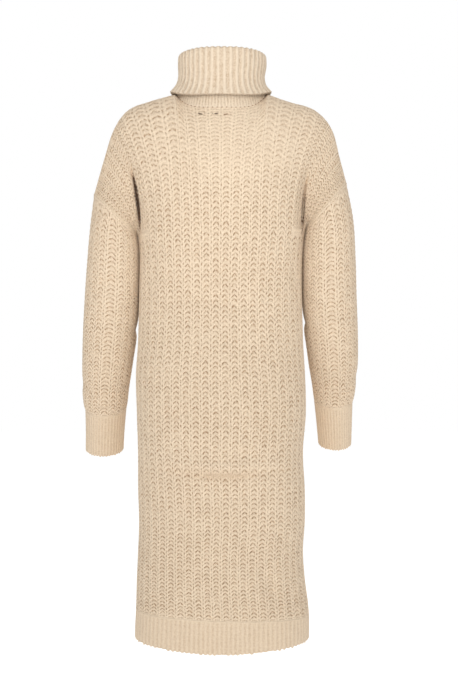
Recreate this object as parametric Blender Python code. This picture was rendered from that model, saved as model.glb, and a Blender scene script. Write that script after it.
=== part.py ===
"""A knitted roll-neck dress, worn and hollow, made of the pieces that are cut and sewn together.

Metres, +Z up. The origin lies between the shoulders, level with their highest points. The back of the dress
faces -Y and the front faces +Y. "Left" is the side of -X and "right" the side of +X.

Every piece is a knitted wall. Its outer face carries the ribs, raised as ridges that run along the wales, and
its inner face is plain. No primitive or modifier makes such a wall, because its two faces are lofts between
unlike sections and hold different numbers of points, so wall() builds the faces by rule from the two lofts.
"""

import math
from typing import NamedTuple

import bmesh
import bpy
import numpy as np

# Knit
WALL = 0.005  # from the crest of a rib to the plain inside
RIB_RELIEF = 0.0018  # the groove between two ribs of the body
FINE_RELIEF = 0.0014  # the groove between two ribs of a hem, cuff or collar
SEAM_GAP = 0.0003  # between two pieces that are sewn together
PANEL_RIBS = 24
SLEEVE_RIBS = 20
HEM_RIBS = 48
CUFF_RIBS = 38
COLLAR_RIBS = 44

# Body
ROUNDNESS = 2.3  # 2 gives elliptical sections, more gives squarer ones
ARMPIT_LEFT = (0.1612, -0.262)  # outwards, up
ARMPIT_RIGHT = (0.1610, -0.250)
HEM_SEAM = (-0.977, -0.985, -0.990)  # height of the hem rib's seam at the left, centre and right
HEM_EDGE = (-1.029, -1.046, -1.031)  # height of its lower edge
NECK_HALF_WIDTH = 0.088
NECK_POINT_HEIGHT = 0.012
NECK_DEPTH = {"back": 0.078, "front": 0.092}
NECK_DROP = {"back": 0.036, "front": 0.074}
NECK_BLEND = 0.07  # share of the way over which the wales beside the neck point are evened out
NECK_SHARE = 2 / 3  # where the neck point lies, as a share of the way from armhole to centre line
NECK_PACE = 0.85  # under 1 spreads the wales' ends beside the neck point
ARM_HALF_DEPTH = 0.060
ARM_ROUNDNESS = 2.5  # of a sleeve between its seams, where it is an ellipse
SEAM_RINGS = 0.1  # share of a sleeve, from each seam, over which it changes
SHOULDER_TURN = 2.4  # how squarely the yoke turns over the shoulder: 2 is an ellipse

# Rows of each wall, as shares of its height
PANEL_ROWS = (0.0, 0.09, 0.19, 0.29, 0.355, 0.39, 0.425, 0.50, 0.59, 0.68, 0.77, 0.86, 0.94, 1.0)
YOKE_ROWS = (0.10, 0.22, 0.35, 0.48, 0.61, 0.74, 0.87, 1.0)
BAND_ROWS = (0.0, 0.5, 1.0)

CURVE_SAMPLES = 161
FINER = 4  # how many times finer a grid is while its normals are taken
SHARP_EDGE = math.radians(60)
FOLD_FADE = 0.06  # folds die out where the body is less deep than this, beside the side seams


class TorsoSection(NamedTuple):
    """One level section of the body: its half widths to each side and its depths to back and front."""

    height: float
    left: float
    right: float
    back: float
    front: float


TORSO = (
    TorsoSection(-1.060, 0.1665, 0.1680, 0.1145, 0.1130),
    TorsoSection(-1.030, 0.1670, 0.1690, 0.1140, 0.1130),
    TorsoSection(-0.980, 0.1652, 0.1685, 0.1130, 0.1120),
    TorsoSection(-0.920, 0.1635, 0.1610, 0.1140, 0.1120),
    TorsoSection(-0.870, 0.1612, 0.1575, 0.1150, 0.1130),
    TorsoSection(-0.810, 0.1592, 0.1610, 0.1160, 0.1140),
    TorsoSection(-0.750, 0.1610, 0.1610, 0.1170, 0.1150),
    TorsoSection(-0.680, 0.1612, 0.1575, 0.1250, 0.1150),
    TorsoSection(-0.600, 0.1635, 0.1630, 0.1255, 0.1140),
    TorsoSection(-0.520, 0.1650, 0.1610, 0.1150, 0.1110),
    TorsoSection(-0.470, 0.1615, 0.1580, 0.1060, 0.1080),
    TorsoSection(-0.420, 0.1600, 0.1565, 0.1000, 0.1080),
    TorsoSection(-0.360, 0.1600, 0.1560, 0.1010, 0.1180),
    TorsoSection(-0.300, 0.1603, 0.1580, 0.1090, 0.1280),
    TorsoSection(-0.250, 0.1606, 0.1603, 0.1120, 0.1260),
)


class Fold(NamedTuple):
    """A soft trough across or along a panel: its middle, half length, turn from level, half width and depth."""

    side: str
    across: float
    height: float
    half_length: float
    turn: float
    half_width: float
    depth: float


FOLDS = (
    Fold("back", -0.005, -0.704, 0.150, -2.0, 0.014, 0.0070),
    Fold("back", -0.020, -0.392, 0.120, -2.0, 0.018, 0.0030),
    Fold("back", 0.092, -0.915, 0.060, 82.0, 0.016, 0.0055),
    Fold("front", 0.010, -0.420, 0.130, 3.0, 0.018, 0.0040),
    Fold("front", -0.015, -0.560, 0.110, -4.0, 0.016, 0.0030),
    Fold("front", -0.080, -0.880, 0.090, 84.0, 0.018, 0.0050),
)


class ShoulderPoint(NamedTuple):
    """A point of the line from the dropped armhole up the arm and along the shoulder to the neck."""

    outwards: float
    height: float


SHOULDER_LEFT = (
    ShoulderPoint(0.2460, -0.181),
    ShoulderPoint(0.2270, -0.114),
    ShoulderPoint(0.2080, -0.056),
    ShoulderPoint(0.1800, -0.018),
    ShoulderPoint(0.1330, 0.000),
    ShoulderPoint(NECK_HALF_WIDTH, NECK_POINT_HEIGHT),
)
SHOULDER_RIGHT = (
    ShoulderPoint(0.2412, -0.159),
    ShoulderPoint(0.2288, -0.112),
    ShoulderPoint(0.2125, -0.054),
    ShoulderPoint(0.1795, -0.018),
    ShoulderPoint(0.1290, -0.002),
    ShoulderPoint(NECK_HALF_WIDTH, NECK_POINT_HEIGHT),
)


class YokeWale(NamedTuple):
    """How a wale runs over the yoke, by its share of the way from armhole (0) to centre line (1)."""

    share: float
    top: float  # its share of the way along the shoulder line
    swell: float  # how far it bows out between its ends
    swell_power: float  # 0.5 is a half ellipse, 1 a shallow arch
    upright: float  # 0 is a straight run, 1 leaves the body straight up


YOKE = (
    YokeWale(0.000, 0.00, 0.0600, 0.5, 0.0),
    YokeWale(0.083, 0.16, 0.0300, 0.6, 0.7),
    YokeWale(0.167, 0.32, 0.0120, 0.8, 1.0),
    YokeWale(0.333, 0.57, 0.0020, 1.0, 1.0),
    YokeWale(0.500, 0.77, 0.0030, 1.0, 1.0),
    YokeWale(0.667, 1.00, 0.0050, 1.0, 1.0),
    YokeWale(1.000, 1.00, 0.0080, 1.0, 1.0),
)


class CreasePoint(NamedTuple):
    """A point of the deep crease between arm and body, and the share of the depth that it takes away."""

    height: float
    outwards: float
    strength: float


ARM_CREASE = (
    CreasePoint(-0.290, 0.1560, 0.05),
    CreasePoint(-0.250, 0.1585, 0.20),
    CreasePoint(-0.200, 0.1620, 0.50),
    CreasePoint(-0.160, 0.1675, 0.35),
    CreasePoint(-0.125, 0.1740, 0.10),
    CreasePoint(-0.095, 0.1790, 0.00),
)
ARM_CREASE_HALF_WIDTH = 0.016


class ArmSection(NamedTuple):
    """One ring of a sleeve or cuff: its inner and outer ends, how far forward it sits, its half depth and lean."""

    inner: float
    inner_height: float
    outer: float
    outer_height: float
    forward: float
    half_depth: float
    lean: float  # degrees, how far the arm slopes forward here


SLEEVE_LEFT = (
    ArmSection(0.1612, -0.262, 0.2460, -0.181, 0.0000, ARM_HALF_DEPTH, 0.0),
    ArmSection(0.1612, -0.292, 0.2545, -0.250, 0.0060, 0.0600, 3.0),
    ArmSection(0.1605, -0.335, 0.2610, -0.315, 0.0160, 0.0600, 8.0),
    ArmSection(0.1597, -0.385, 0.2665, -0.378, 0.0280, 0.0585, 12.0),
    ArmSection(0.1645, -0.440, 0.2710, -0.440, 0.0420, 0.0560, 15.0),
    ArmSection(0.1730, -0.500, 0.2740, -0.500, 0.0580, 0.0525, 18.0),
    ArmSection(0.1820, -0.552, 0.2750, -0.552, 0.0750, 0.0485, 20.0),
    ArmSection(0.1862, -0.583, 0.2740, -0.583, 0.0860, 0.0450, 21.0),
    ArmSection(0.1895, -0.598, 0.2712, -0.598, 0.0915, 0.0405, 21.0),
)
CUFF_LEFT = (
    ArmSection(0.1895, -0.598, 0.2712, -0.598, 0.0915, 0.0405, 21.0),
    ArmSection(0.1940, -0.640, 0.2718, -0.640, 0.1075, 0.0380, 21.0),
    ArmSection(0.1970, -0.678, 0.2735, -0.678, 0.1218, 0.0385, 21.0),
)
SLEEVE_RIGHT = (
    ArmSection(0.1610, -0.250, 0.2412, -0.159, 0.0000, ARM_HALF_DEPTH, 0.0),
    ArmSection(0.1597, -0.285, 0.2548, -0.230, 0.0060, 0.0600, 3.0),
    ArmSection(0.1572, -0.335, 0.2602, -0.305, 0.0160, 0.0600, 8.0),
    ArmSection(0.1562, -0.385, 0.2630, -0.372, 0.0280, 0.0585, 12.0),
    ArmSection(0.1615, -0.440, 0.2665, -0.440, 0.0420, 0.0560, 15.0),
    ArmSection(0.1695, -0.500, 0.2680, -0.500, 0.0580, 0.0520, 18.0),
    ArmSection(0.1775, -0.545, 0.2648, -0.545, 0.0730, 0.0470, 20.0),
    ArmSection(0.1810, -0.568, 0.2628, -0.568, 0.0810, 0.0435, 21.0),
    ArmSection(0.1835, -0.583, 0.2598, -0.583, 0.0865, 0.0395, 21.0),
)
CUFF_RIGHT = (
    ArmSection(0.1835, -0.583, 0.2598, -0.583, 0.0865, 0.0395, 21.0),
    ArmSection(0.1890, -0.627, 0.2598, -0.627, 0.1035, 0.0370, 21.0),
    ArmSection(0.1932, -0.666, 0.2600, -0.666, 0.1180, 0.0375, 21.0),
)


class CollarRing(NamedTuple):
    """One ring of the collar, from the neck seam up the inside, over the fold and down to the free edge.

    It gives the face that looks outwards on the standing layer and inwards on the folded one.
    """

    left: float
    right: float
    back: float
    front: float
    side_height: float
    back_height: float
    front_height: float


COLLAR = (
    CollarRing(0.0876, 0.0876, 0.0776, 0.0916, 0.0125, -0.0235, -0.0615),
    CollarRing(0.0800, 0.0800, 0.0720, 0.0840, 0.0300, 0.0040, -0.0300),
    CollarRing(0.0750, 0.0760, 0.0680, 0.0770, 0.0520, 0.0400, 0.0050),
    CollarRing(0.0742, 0.0765, 0.0680, 0.0750, 0.0715, 0.0700, 0.0440),
    CollarRing(0.0752, 0.0782, 0.0692, 0.0760, 0.0820, 0.0860, 0.0620),
    CollarRing(0.0770, 0.0800, 0.0710, 0.0777, 0.0841, 0.0884, 0.0642),
    CollarRing(0.0787, 0.0817, 0.0728, 0.0795, 0.0820, 0.0862, 0.0620),
    CollarRing(0.0793, 0.0820, 0.0745, 0.0825, 0.0655, 0.0660, 0.0400),
    CollarRing(0.0788, 0.0788, 0.0750, 0.0880, 0.0450, 0.0400, 0.0060),
    CollarRing(0.0840, 0.0822, 0.0768, 0.0970, 0.0280, 0.0180, -0.0240),
    CollarRing(0.0958, 0.0935, 0.0810, 0.1080, 0.0140, 0.0000, -0.0470),
)


class Yarn(NamedTuple):
    """A finish: its colour, and how rough it is."""

    colour: tuple
    roughness: float


BODY_YARN = Yarn((0.70, 0.56, 0.41, 1.0), 0.95)
RIB_YARN = Yarn((0.72, 0.58, 0.43, 1.0), 0.95)


def column(table, name):
    """One named column of a table, as an array."""
    return np.array([getattr(row, name) for row in table])


def through(knots, values, places):
    """A smooth curve through the knots, read at the given places and held level beyond the last knots."""
    slopes = np.gradient(values, knots, axis=0)
    places = np.clip(places, knots[0], knots[-1])
    index = np.clip(np.searchsorted(knots, places, side="right") - 1, 0, len(knots) - 2)
    width = knots[index + 1] - knots[index]
    part = (places - knots[index]) / width
    if np.ndim(values) > 1:
        width, part = width[..., None], part[..., None]
    rise = part * part * (3 - 2 * part)
    start = part * (1 - part) ** 2 * width * slopes[index]
    end = part * part * (part - 1) * width * slopes[index + 1]
    return values[index] * (1 - rise) + values[index + 1] * rise + start + end


def looked_up(table, name, key, places):
    """One column of a table, read smoothly at places along another column."""
    return through(column(table, key), column(table, name), places)


def spaced(points, shares):
    """Points at the given shares of a curve's length."""
    steps = np.linalg.norm(np.diff(points, axis=0), axis=1)
    travelled = np.concatenate([[0.0], np.cumsum(steps)])
    places = np.asarray(shares) * travelled[-1]
    return np.stack([np.interp(places, travelled, points[:, axis]) for axis in range(3)], axis=1)


def facing(side):
    """The direction of Y that a side of the dress looks in."""
    return -1.0 if side == "back" else 1.0


def torso_points(angle, height, side):
    """Points of the body's surface, at angles from the left seam (-90) to the right one (90 degrees)."""
    sine, cosine = np.sin(angle), np.abs(np.cos(angle))
    left = looked_up(TORSO, "left", "height", height)
    right = looked_up(TORSO, "right", "height", height)
    depth = looked_up(TORSO, side, "height", height)
    power = 2 / ROUNDNESS
    across = np.where(sine < 0, left, right) * np.sign(sine) * np.abs(sine) ** power
    out = depth * cosine**power
    return np.stack([across, facing(side) * out, height + 0 * angle], axis=-1)


def seam_angles(shares, height, side):
    """Angles whose points lie at the given shares of a level section's length."""
    angle = np.linspace(-math.pi / 2, math.pi / 2, CURVE_SAMPLES)
    points = torso_points(angle, np.full_like(angle, height), side)
    steps = np.linalg.norm(np.diff(points, axis=0), axis=1)
    travelled = np.concatenate([[0.0], np.cumsum(steps)])
    return np.interp(np.asarray(shares) * travelled[-1], travelled, angle)


def level_line(heights, shares):
    """Heights across a panel through its values at the left seam, the centre line and the right seam."""
    return through(np.array([0.0, 0.5, 1.0]), np.array(heights), np.asarray(shares))


def armpit_line(shares):
    """Heights of the course that joins the two armpits."""
    shares = np.asarray(shares)
    return ARMPIT_LEFT[1] * (1 - shares) + ARMPIT_RIGHT[1] * shares


def with_folds(points, side):
    """The points, with the soft troughs of that side pressed in."""
    points = points.copy()
    for fold in FOLDS:
        if fold.side != side:
            continue
        turn = math.radians(fold.turn)
        across, up = points[..., 0] - fold.across, points[..., 2] - fold.height
        along = across * math.cos(turn) + up * math.sin(turn)
        over = up * math.cos(turn) - across * math.sin(turn)
        press = np.exp(-((over / fold.half_width) ** 2) - (along / fold.half_length) ** 4)
        from_seam = np.clip(np.abs(points[..., 1]) / FOLD_FADE, 0, 1)
        points[..., 1] -= facing(side) * fold.depth * press * from_seam
    return points


def body_rows(side, bottom, top, rows, shares):
    """Courses of a panel or band, from one height line to another."""
    grid = []
    for row in rows:
        height = bottom * (1 - row) + top * row
        angle = seam_angles(shares, float(np.mean(height)), side)
        grid.append(torso_points(angle, height, side))
    return np.array(grid)


def fallen(sine, side):
    """How far a ring round the neck has fallen, by the sine of the way round: later at the front than at the back."""
    return sine**2 if side == "front" else sine**2 * (3 - 2 * sine)


def wale_ends(sign, side, wales):
    """Where each wale ends: along the shoulder line as far as the neck point, then round the neckline."""
    points = SHOULDER_LEFT if sign < 0 else SHOULDER_RIGHT
    run = np.array([[sign * point.outwards, 0.0, point.height] for point in points])
    knots = np.arange(len(run), dtype=float)
    line = through(knots, run, np.linspace(0, knots[-1], CURVE_SAMPLES))
    shoulder = spaced(line, looked_up(YOKE, "top", "share", wales))
    past_neck = np.clip((wales - NECK_SHARE) / (1 - NECK_SHARE), 0, 1)
    turn = math.pi / 2 * past_neck**NECK_PACE
    across = sign * NECK_HALF_WIDTH * np.cos(turn)
    out = facing(side) * NECK_DEPTH[side] * np.sin(turn)
    height = NECK_POINT_HEIGHT - NECK_DROP[side] * fallen(np.sin(turn), side)
    neckline = np.stack([across, out, height], axis=1)
    return np.where((past_neck > 0)[:, None], neckline, shoulder)


def squared_off(share):
    """Falls from 1 at 0 to 0 at 1 along a squared quarter circle."""
    return np.clip(1 - share**SHOULDER_TURN, 0, 1) ** (1 / SHOULDER_TURN)


def evened_out(values, wales, along):
    """Values of each wale, averaged with its neighbours' beside the neck point and away from the wales' ends."""
    near = np.exp(-(((wales[:, None] - wales) / NECK_BLEND) ** 2))
    average = values @ (near / near.sum(axis=1, keepdims=True)).T
    beside = np.exp(-(((wales - NECK_SHARE) / (2 * NECK_BLEND)) ** 2))
    return values + (average - values) * beside * np.sqrt(4 * along * (1 - along))


def yoke_half(side, sign, start, wales, rows):
    """Courses of one half of a yoke. Each wale runs from its start on the armpit line to the shoulder line.

    Seen flat, a wale is a curve with one guide point. Its depth turns over at the shoulder, bows out between
    its ends, and is cut back along the deep crease beside the arm.
    """
    end = wale_ends(sign, side, wales)
    swell = looked_up(YOKE, "swell", "share", wales)
    power = looked_up(YOKE, "swell_power", "share", wales)
    upright = looked_up(YOKE, "upright", "share", wales)
    along = (1 - np.cos(np.linspace(0, math.pi, CURVE_SAMPLES)))[:, None] / 2
    middle = (start + end) / 2
    lifted = start + np.array([0, 0, 1]) * (end - start)[:, 2:] / 2
    guide = middle + upright[:, None] * (lifted - middle)
    bend = [
        (1 - along) ** 2 * start[:, axis] + 2 * along * (1 - along) * guide[:, axis] + along**2 * end[:, axis]
        for axis in (0, 2)
    ]
    start_depth, end_depth = facing(side) * start[:, 1], facing(side) * end[:, 1]
    cut = squared_off(np.clip(end_depth / np.maximum(start_depth, SEAM_GAP), 0, 1))
    depth = start_depth * squared_off(along * cut)
    depth = evened_out(depth + swell * (4 * along * (1 - along)) ** power, wales, along)
    crease_at = looked_up(ARM_CREASE, "outwards", "height", bend[1])
    strength = looked_up(ARM_CREASE, "strength", "height", bend[1])
    away = (sign * bend[0] - crease_at) / ARM_CREASE_HALF_WIDTH
    depth *= 1 - strength * np.exp(-(away**2)) * np.clip(depth / ARM_HALF_DEPTH, 0, 1)
    curves = np.stack([bend[0], facing(side) * depth, bend[1]], axis=-1)
    return np.stack([spaced(curves[:, wale], rows) for wale in range(len(wales))], axis=1)


def panel_surface(side, shares, panel_rows, yoke_rows):
    """The whole of a front or back: courses from the hem rib's seam to the armpits, then the yoke."""
    bottom = level_line(HEM_SEAM, shares) + SEAM_GAP / 2
    lower = body_rows(side, bottom, armpit_line(shares), panel_rows, shares)
    start = lower[-1].copy()
    start[0, 0], start[-1, 0] = -ARMPIT_LEFT[0], ARMPIT_RIGHT[0]
    lower[-1] = start
    middle = len(shares) // 2
    wales = np.minimum(shares, 1 - shares) * 2
    left = yoke_half(side, -1.0, start[: middle + 1], wales[: middle + 1], yoke_rows)
    right = yoke_half(side, 1.0, start[middle:], wales[middle:], yoke_rows)
    upper = np.concatenate([left, right[:, 1:]], axis=1)
    return with_folds(np.concatenate([lower, upper]), side)


def arm_surface(table, sign, shares, rows):
    """Rings of a sleeve or cuff, round from the underarm by the back to the outer side and by the front.

    A sleeve's rings are ellipses at its seams and squarer between them.
    """
    squarer = np.clip(np.minimum(rows, 1 - rows) / SEAM_RINGS, 0, 1)[:, None] * (len(table) > len(CUFF_LEFT))
    power = 1 + squarer * (2 / ARM_ROUNDNESS - 1)
    knots = np.linspace(0, 1, len(table))
    reading = {name: through(knots, column(table, name), rows)[:, None] for name in ArmSection._fields}
    angle = 2 * math.pi * shares
    inner, outer = reading["inner"], reading["outer"]
    half_turn = -np.sign(np.cos(angle)) * np.abs(np.cos(angle)) ** power / 2
    across = (inner + outer) / 2 + (outer - inner) * half_turn
    height = (reading["inner_height"] + reading["outer_height"]) / 2
    height = height + (reading["outer_height"] - reading["inner_height"]) * half_turn
    lean = np.radians(reading["lean"])
    out = reading["half_depth"] * np.sign(np.sin(angle)) * np.abs(np.sin(angle)) ** power
    return np.stack(
        [sign * across, reading["forward"] - out * np.cos(lean), height - out * np.sin(lean)], axis=-1
    )


def collar_surface(shares):
    """Rings of the collar, round from the left side by the front to the right side and by the back."""
    angle = 2 * math.pi * shares
    sine, cosine = np.sin(angle), np.cos(angle)
    grid = []
    for ring in COLLAR:
        depth = np.where(sine > 0, ring.front, ring.back)
        width = np.where(cosine > 0, ring.left, ring.right)
        end = np.where(sine > 0, ring.front_height, ring.back_height)
        share = np.where(sine > 0, fallen(sine, "front"), fallen(-sine, "back"))
        height = ring.side_height + (end - ring.side_height) * share
        grid.append(np.stack([-width * cosine, depth * sine, height], axis=1))
    return np.array(grid)


def normals_of(surface, closed):
    """Unit normals of a grid of points, from the differences between neighbours."""
    along = np.gradient(surface, axis=0)
    if closed:
        across = np.roll(surface, -1, axis=1) - np.roll(surface, 1, axis=1)
    else:
        across = np.gradient(surface, axis=1)
    normal = np.cross(across, along)
    return normal / np.linalg.norm(normal, axis=-1, keepdims=True)


def refined(values):
    """The values with evenly spaced ones put in between each two neighbours."""
    places = np.arange((len(values) - 1) * FINER + 1) / FINER
    return np.interp(places, np.arange(len(values)), values)


def flattened(normal, direction):
    """Normals with their part along a direction taken out."""
    direction = np.asarray(direction) / np.linalg.norm(direction)
    normal = normal - (normal @ direction)[..., None] * direction
    return normal / np.linalg.norm(normal, axis=-1, keepdims=True)


def kept_short_of(normal, direction):
    """Normals that no longer lean along a direction. Those that lean the other way stay as they are."""
    normal = normal - np.clip(normal @ direction, 0, None)[:, None] * direction
    return normal / np.linalg.norm(normal, axis=-1, keepdims=True)


def towards_shoulder(sleeve, sign):
    """The direction square to an armhole, pointing up and inwards."""
    ring = sleeve[0]
    direction = np.array([-sign * (ring.outer_height - ring.inner_height), 0, ring.outer - ring.inner])
    return direction / np.linalg.norm(direction)


def down_forearm(table):
    """The direction along a forearm at the end of a sleeve or cuff."""
    lean = math.radians(table[-1].lean)
    return np.array([0, math.sin(lean), -math.cos(lean)])


def wall(name, outer, inner, closed, yarn, collection):
    """A closed solid between an outer grid with two steps to a rib and an inner grid with one.

    Both grids run along the same rows. At the first and last rows, and at the sides of an open wall, a rim
    joins the two.
    """
    rows, fine = outer.shape[:2]
    coarse = inner.shape[1]
    ribs = coarse if closed else coarse - 1
    points = np.concatenate([outer.reshape(-1, 3), inner.reshape(-1, 3)])

    def out(row, step):
        return row * fine + step % fine

    def ins(row, step):
        return rows * fine + row * coarse + step % coarse

    faces = []
    for row in range(rows - 1):
        for step in range(2 * ribs):
            faces.append((out(row, step), out(row, step + 1), out(row + 1, step + 1), out(row + 1, step)))
        for step in range(ribs):
            faces.append((ins(row, step), ins(row + 1, step), ins(row + 1, step + 1), ins(row, step + 1)))
        if not closed:
            last = 2 * ribs
            faces.append((out(row, 0), out(row + 1, 0), ins(row + 1, 0), ins(row, 0)))
            faces.append((out(row, last), ins(row, ribs), ins(row + 1, ribs), out(row + 1, last)))
    for rib in range(ribs):
        for row, first in ((0, True), (rows - 1, False)):
            a, b, c = out(row, 2 * rib), out(row, 2 * rib + 1), out(row, 2 * rib + 2)
            d, e = ins(row, rib), ins(row, rib + 1)
            for face in ((a, d, b), (b, d, e), (b, e, c)):
                faces.append(face if first else face[::-1])
    mesh = bpy.data.meshes.new(name)
    mesh.from_pydata(points.tolist(), [], faces)
    shaped = bmesh.new()
    shaped.from_mesh(mesh)
    bmesh.ops.recalc_face_normals(shaped, faces=shaped.faces)
    shaped.to_mesh(mesh)
    shaped.free()
    mesh.shade_smooth()
    mesh.set_sharp_from_angle(angle=SHARP_EDGE)
    mesh.materials.append(material(name, yarn))
    piece = bpy.data.objects.new(name, mesh)
    collection.objects.link(piece)
    return piece


def material(name, yarn):
    """A plain yarn finish for one piece."""
    made = bpy.data.materials.new(name + " yarn")
    made.use_nodes = True
    shader = made.node_tree.nodes["Principled BSDF"]
    shader.inputs["Base Color"].default_value = yarn.colour
    shader.inputs["Roughness"].default_value = yarn.roughness
    shader.inputs["Metallic"].default_value = 0.0
    return made


def knitted(name, surface, normal, relief, closed, yarn, collection):
    """A wall under a surface: ribs raised on its outer face, a plain inner face."""
    groove = np.arange(surface.shape[1]) % 2 == 0
    drop = np.where(groove, relief, 0.0)[None, :, None]
    outer = surface - drop * normal
    inner = (surface - WALL * normal)[:, ::2]
    return wall(name, outer, inner, closed, yarn, collection)


def body_panel(side, collection):
    """The front or back panel, its edges square to the side, shoulder and armhole seams."""
    shares = refined(np.linspace(0, 1, 2 * PANEL_RIBS + 1))
    yoke_rows = refined(np.array((0.0, *YOKE_ROWS)))[1:]
    fine = panel_surface(side, shares, refined(np.array(PANEL_ROWS)), yoke_rows)
    normal = normals_of(fine, closed=False)[::FINER, ::FINER] * -facing(side)
    surface = fine[::FINER, ::FINER]
    lower = len(PANEL_ROWS)
    shoulder = surface[-1, :, 1] * facing(side) < SEAM_GAP
    normal[0] = flattened(normal[0], (0, 0, 1))
    normal[-1, shoulder] = flattened(normal[-1, shoulder], (0, 1, 0))
    for edge, sign, sleeve in ((0, -1.0, SLEEVE_LEFT), (-1, 1.0, SLEEVE_RIGHT)):
        square = towards_shoulder(sleeve, sign)
        normal[:lower, edge] = (sign, 0, 0)
        normal[lower:, edge] = kept_short_of(normal[lower:, edge], square)
        surface[lower:, edge] += square * SEAM_GAP / 2
    surface[:, [0, -1], 1] += facing(side) * SEAM_GAP / 2
    surface[-1, shoulder, 1] = facing(side) * SEAM_GAP / 2
    return knitted(side + "_panel", surface, normal, RIB_RELIEF, False, BODY_YARN, collection)


def hem_rib(side, collection):
    """The band of fine rib along the bottom of one panel."""
    shares = np.linspace(0, 1, 2 * HEM_RIBS + 1)
    bottom = level_line(HEM_EDGE, shares)
    top = level_line(HEM_SEAM, shares) - SEAM_GAP / 2
    surface = with_folds(body_rows(side, bottom, top, np.array(BAND_ROWS), shares), side)
    normal = normals_of(surface, closed=False) * -facing(side)
    normal = flattened(normal, (0, 0, 1))
    normal[:, 0], normal[:, -1] = (-1, 0, 0), (1, 0, 0)
    surface[:, [0, -1], 1] += facing(side) * SEAM_GAP / 2
    return knitted("hem_rib_" + side, surface, normal, FINE_RELIEF, False, RIB_YARN, collection)


def arm_wall(table, sign, ribs, rows, top_axis):
    """The surface and normals of a sleeve or cuff, its ends square to the arm and half a seam gap short."""
    shares = np.arange(2 * ribs) / (2 * ribs)
    surface = arm_surface(table, sign, shares, rows)
    normal = normals_of(surface, closed=True) * -sign
    end_axis = down_forearm(table)
    normal[0] = flattened(normal[0], top_axis)
    normal[-1] = flattened(normal[-1], end_axis)
    surface[0] += top_axis * SEAM_GAP / 2
    surface[-1] -= end_axis * SEAM_GAP / 2
    return surface, normal


def arm(side, sign, sleeve, cuff, collection):
    """One sleeve, from the armhole to the wrist, and its cuff."""
    armhole, wrist = -towards_shoulder(sleeve, sign), down_forearm(sleeve)
    surface, normal = arm_wall(sleeve, sign, SLEEVE_RIBS, np.linspace(0, 1, len(sleeve)), armhole)
    knitted("sleeve_" + side, surface, normal, RIB_RELIEF, True, BODY_YARN, collection)
    surface, normal = arm_wall(cuff, sign, CUFF_RIBS, np.array(BAND_ROWS), wrist)
    knitted("cuff_" + side, surface, normal, FINE_RELIEF, True, RIB_YARN, collection)


def roll_neck(collection):
    """The collar: one band of rib that stands up from the neckline, folds over and hangs down outside itself."""
    shares = np.arange(2 * COLLAR_RIBS) / (2 * COLLAR_RIBS)
    plain = collar_surface(shares)
    normal = normals_of(plain, closed=True)
    normal[0] = flattened(normal[0], (0, 0, 1))
    return knitted("roll_neck", plain + WALL * normal, normal, FINE_RELIEF, True, RIB_YARN, collection)


def cleared_collection(name):
    """An empty scene with one collection of that name."""
    for existing in list(bpy.data.objects):
        bpy.data.objects.remove(existing)
    made = bpy.data.collections.new(name)
    bpy.context.scene.collection.children.link(made)
    return made


def main():
    """Build every piece of the dress."""
    dress = cleared_collection("roll neck dress")
    for side in ("back", "front"):
        body_panel(side, dress)
        hem_rib(side, dress)
    arm("left", -1.0, SLEEVE_LEFT, CUFF_LEFT, dress)
    arm("right", 1.0, SLEEVE_RIGHT, CUFF_RIGHT, dress)
    roll_neck(dress)


main()
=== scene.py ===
"""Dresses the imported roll-neck dress: the stitches of every knitted piece, its seams and its studio.

Metres, +Z up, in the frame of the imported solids. The origin lies between the shoulders. The back of the dress
faces -Y and its front +Y, "left" is -X and "right" is +X.

Every piece of cloth is a thin closed shell. Its outer face is a grid of wales (the upright columns of stitches)
and courses (the rows), whose strands stand out as rounded ridges that climb to the middle of each wale. Its
inner face is a plain grid one cloth thickness further in.
"""

from __future__ import annotations

import logging
import math
from dataclasses import dataclass, field
from enum import Enum
from typing import NamedTuple, Sequence

import bpy
import numpy as np
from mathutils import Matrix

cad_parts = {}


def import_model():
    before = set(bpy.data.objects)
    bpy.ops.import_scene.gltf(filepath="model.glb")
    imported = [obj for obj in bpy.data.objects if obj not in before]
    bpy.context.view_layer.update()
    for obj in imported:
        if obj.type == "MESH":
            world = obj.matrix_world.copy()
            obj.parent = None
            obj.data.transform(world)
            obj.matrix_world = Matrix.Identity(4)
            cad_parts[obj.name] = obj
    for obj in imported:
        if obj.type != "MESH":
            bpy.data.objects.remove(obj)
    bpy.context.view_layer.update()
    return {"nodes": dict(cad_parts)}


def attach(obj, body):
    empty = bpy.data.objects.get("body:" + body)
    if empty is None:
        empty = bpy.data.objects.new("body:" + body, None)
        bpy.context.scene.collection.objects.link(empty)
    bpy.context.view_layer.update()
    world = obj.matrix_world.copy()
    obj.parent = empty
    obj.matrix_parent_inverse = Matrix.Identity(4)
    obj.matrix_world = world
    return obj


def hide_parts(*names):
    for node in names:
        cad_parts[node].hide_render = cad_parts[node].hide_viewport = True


LOG = logging.getLogger("dress")
Array = np.ndarray
Piece = bpy.types.Object

WALL = 0.005  # from the crest of a strand to the plain inside
SEAM_GAP = 0.0003
CURVE_SAMPLES = 401
ROWS_PER_COURSE = 4  # grid rows along one course of stitches
BASE_ROWS_PER_COURSE = 2  # rows of the smooth form that the stitches are laid on
SHARP_EDGE = math.radians(65)
LATTICE = (160, 140)  # random values behind an uneven field
LEAST_LENGTH = 1e-12  # a shorter normal is taken to be this long


class Hand(Enum):
    """The two sides of the dress, by the sign of X."""

    LEFT = -1
    RIGHT = 1


class Face(Enum):
    """The back and the front of the dress, by the sign of Y."""

    BACK = -1
    FRONT = 1


def rows_of(kind: type, *rows: tuple) -> tuple:
    """A table: the values of each row under the names of its kind."""
    return tuple(kind(*row) for row in rows)


# ---- Tables of the form ----


class TorsoSection(NamedTuple):
    """One level section of the body: its half widths to each side and its depths to back and front."""

    height: float
    left: float
    right: float
    back: float
    front: float


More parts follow.
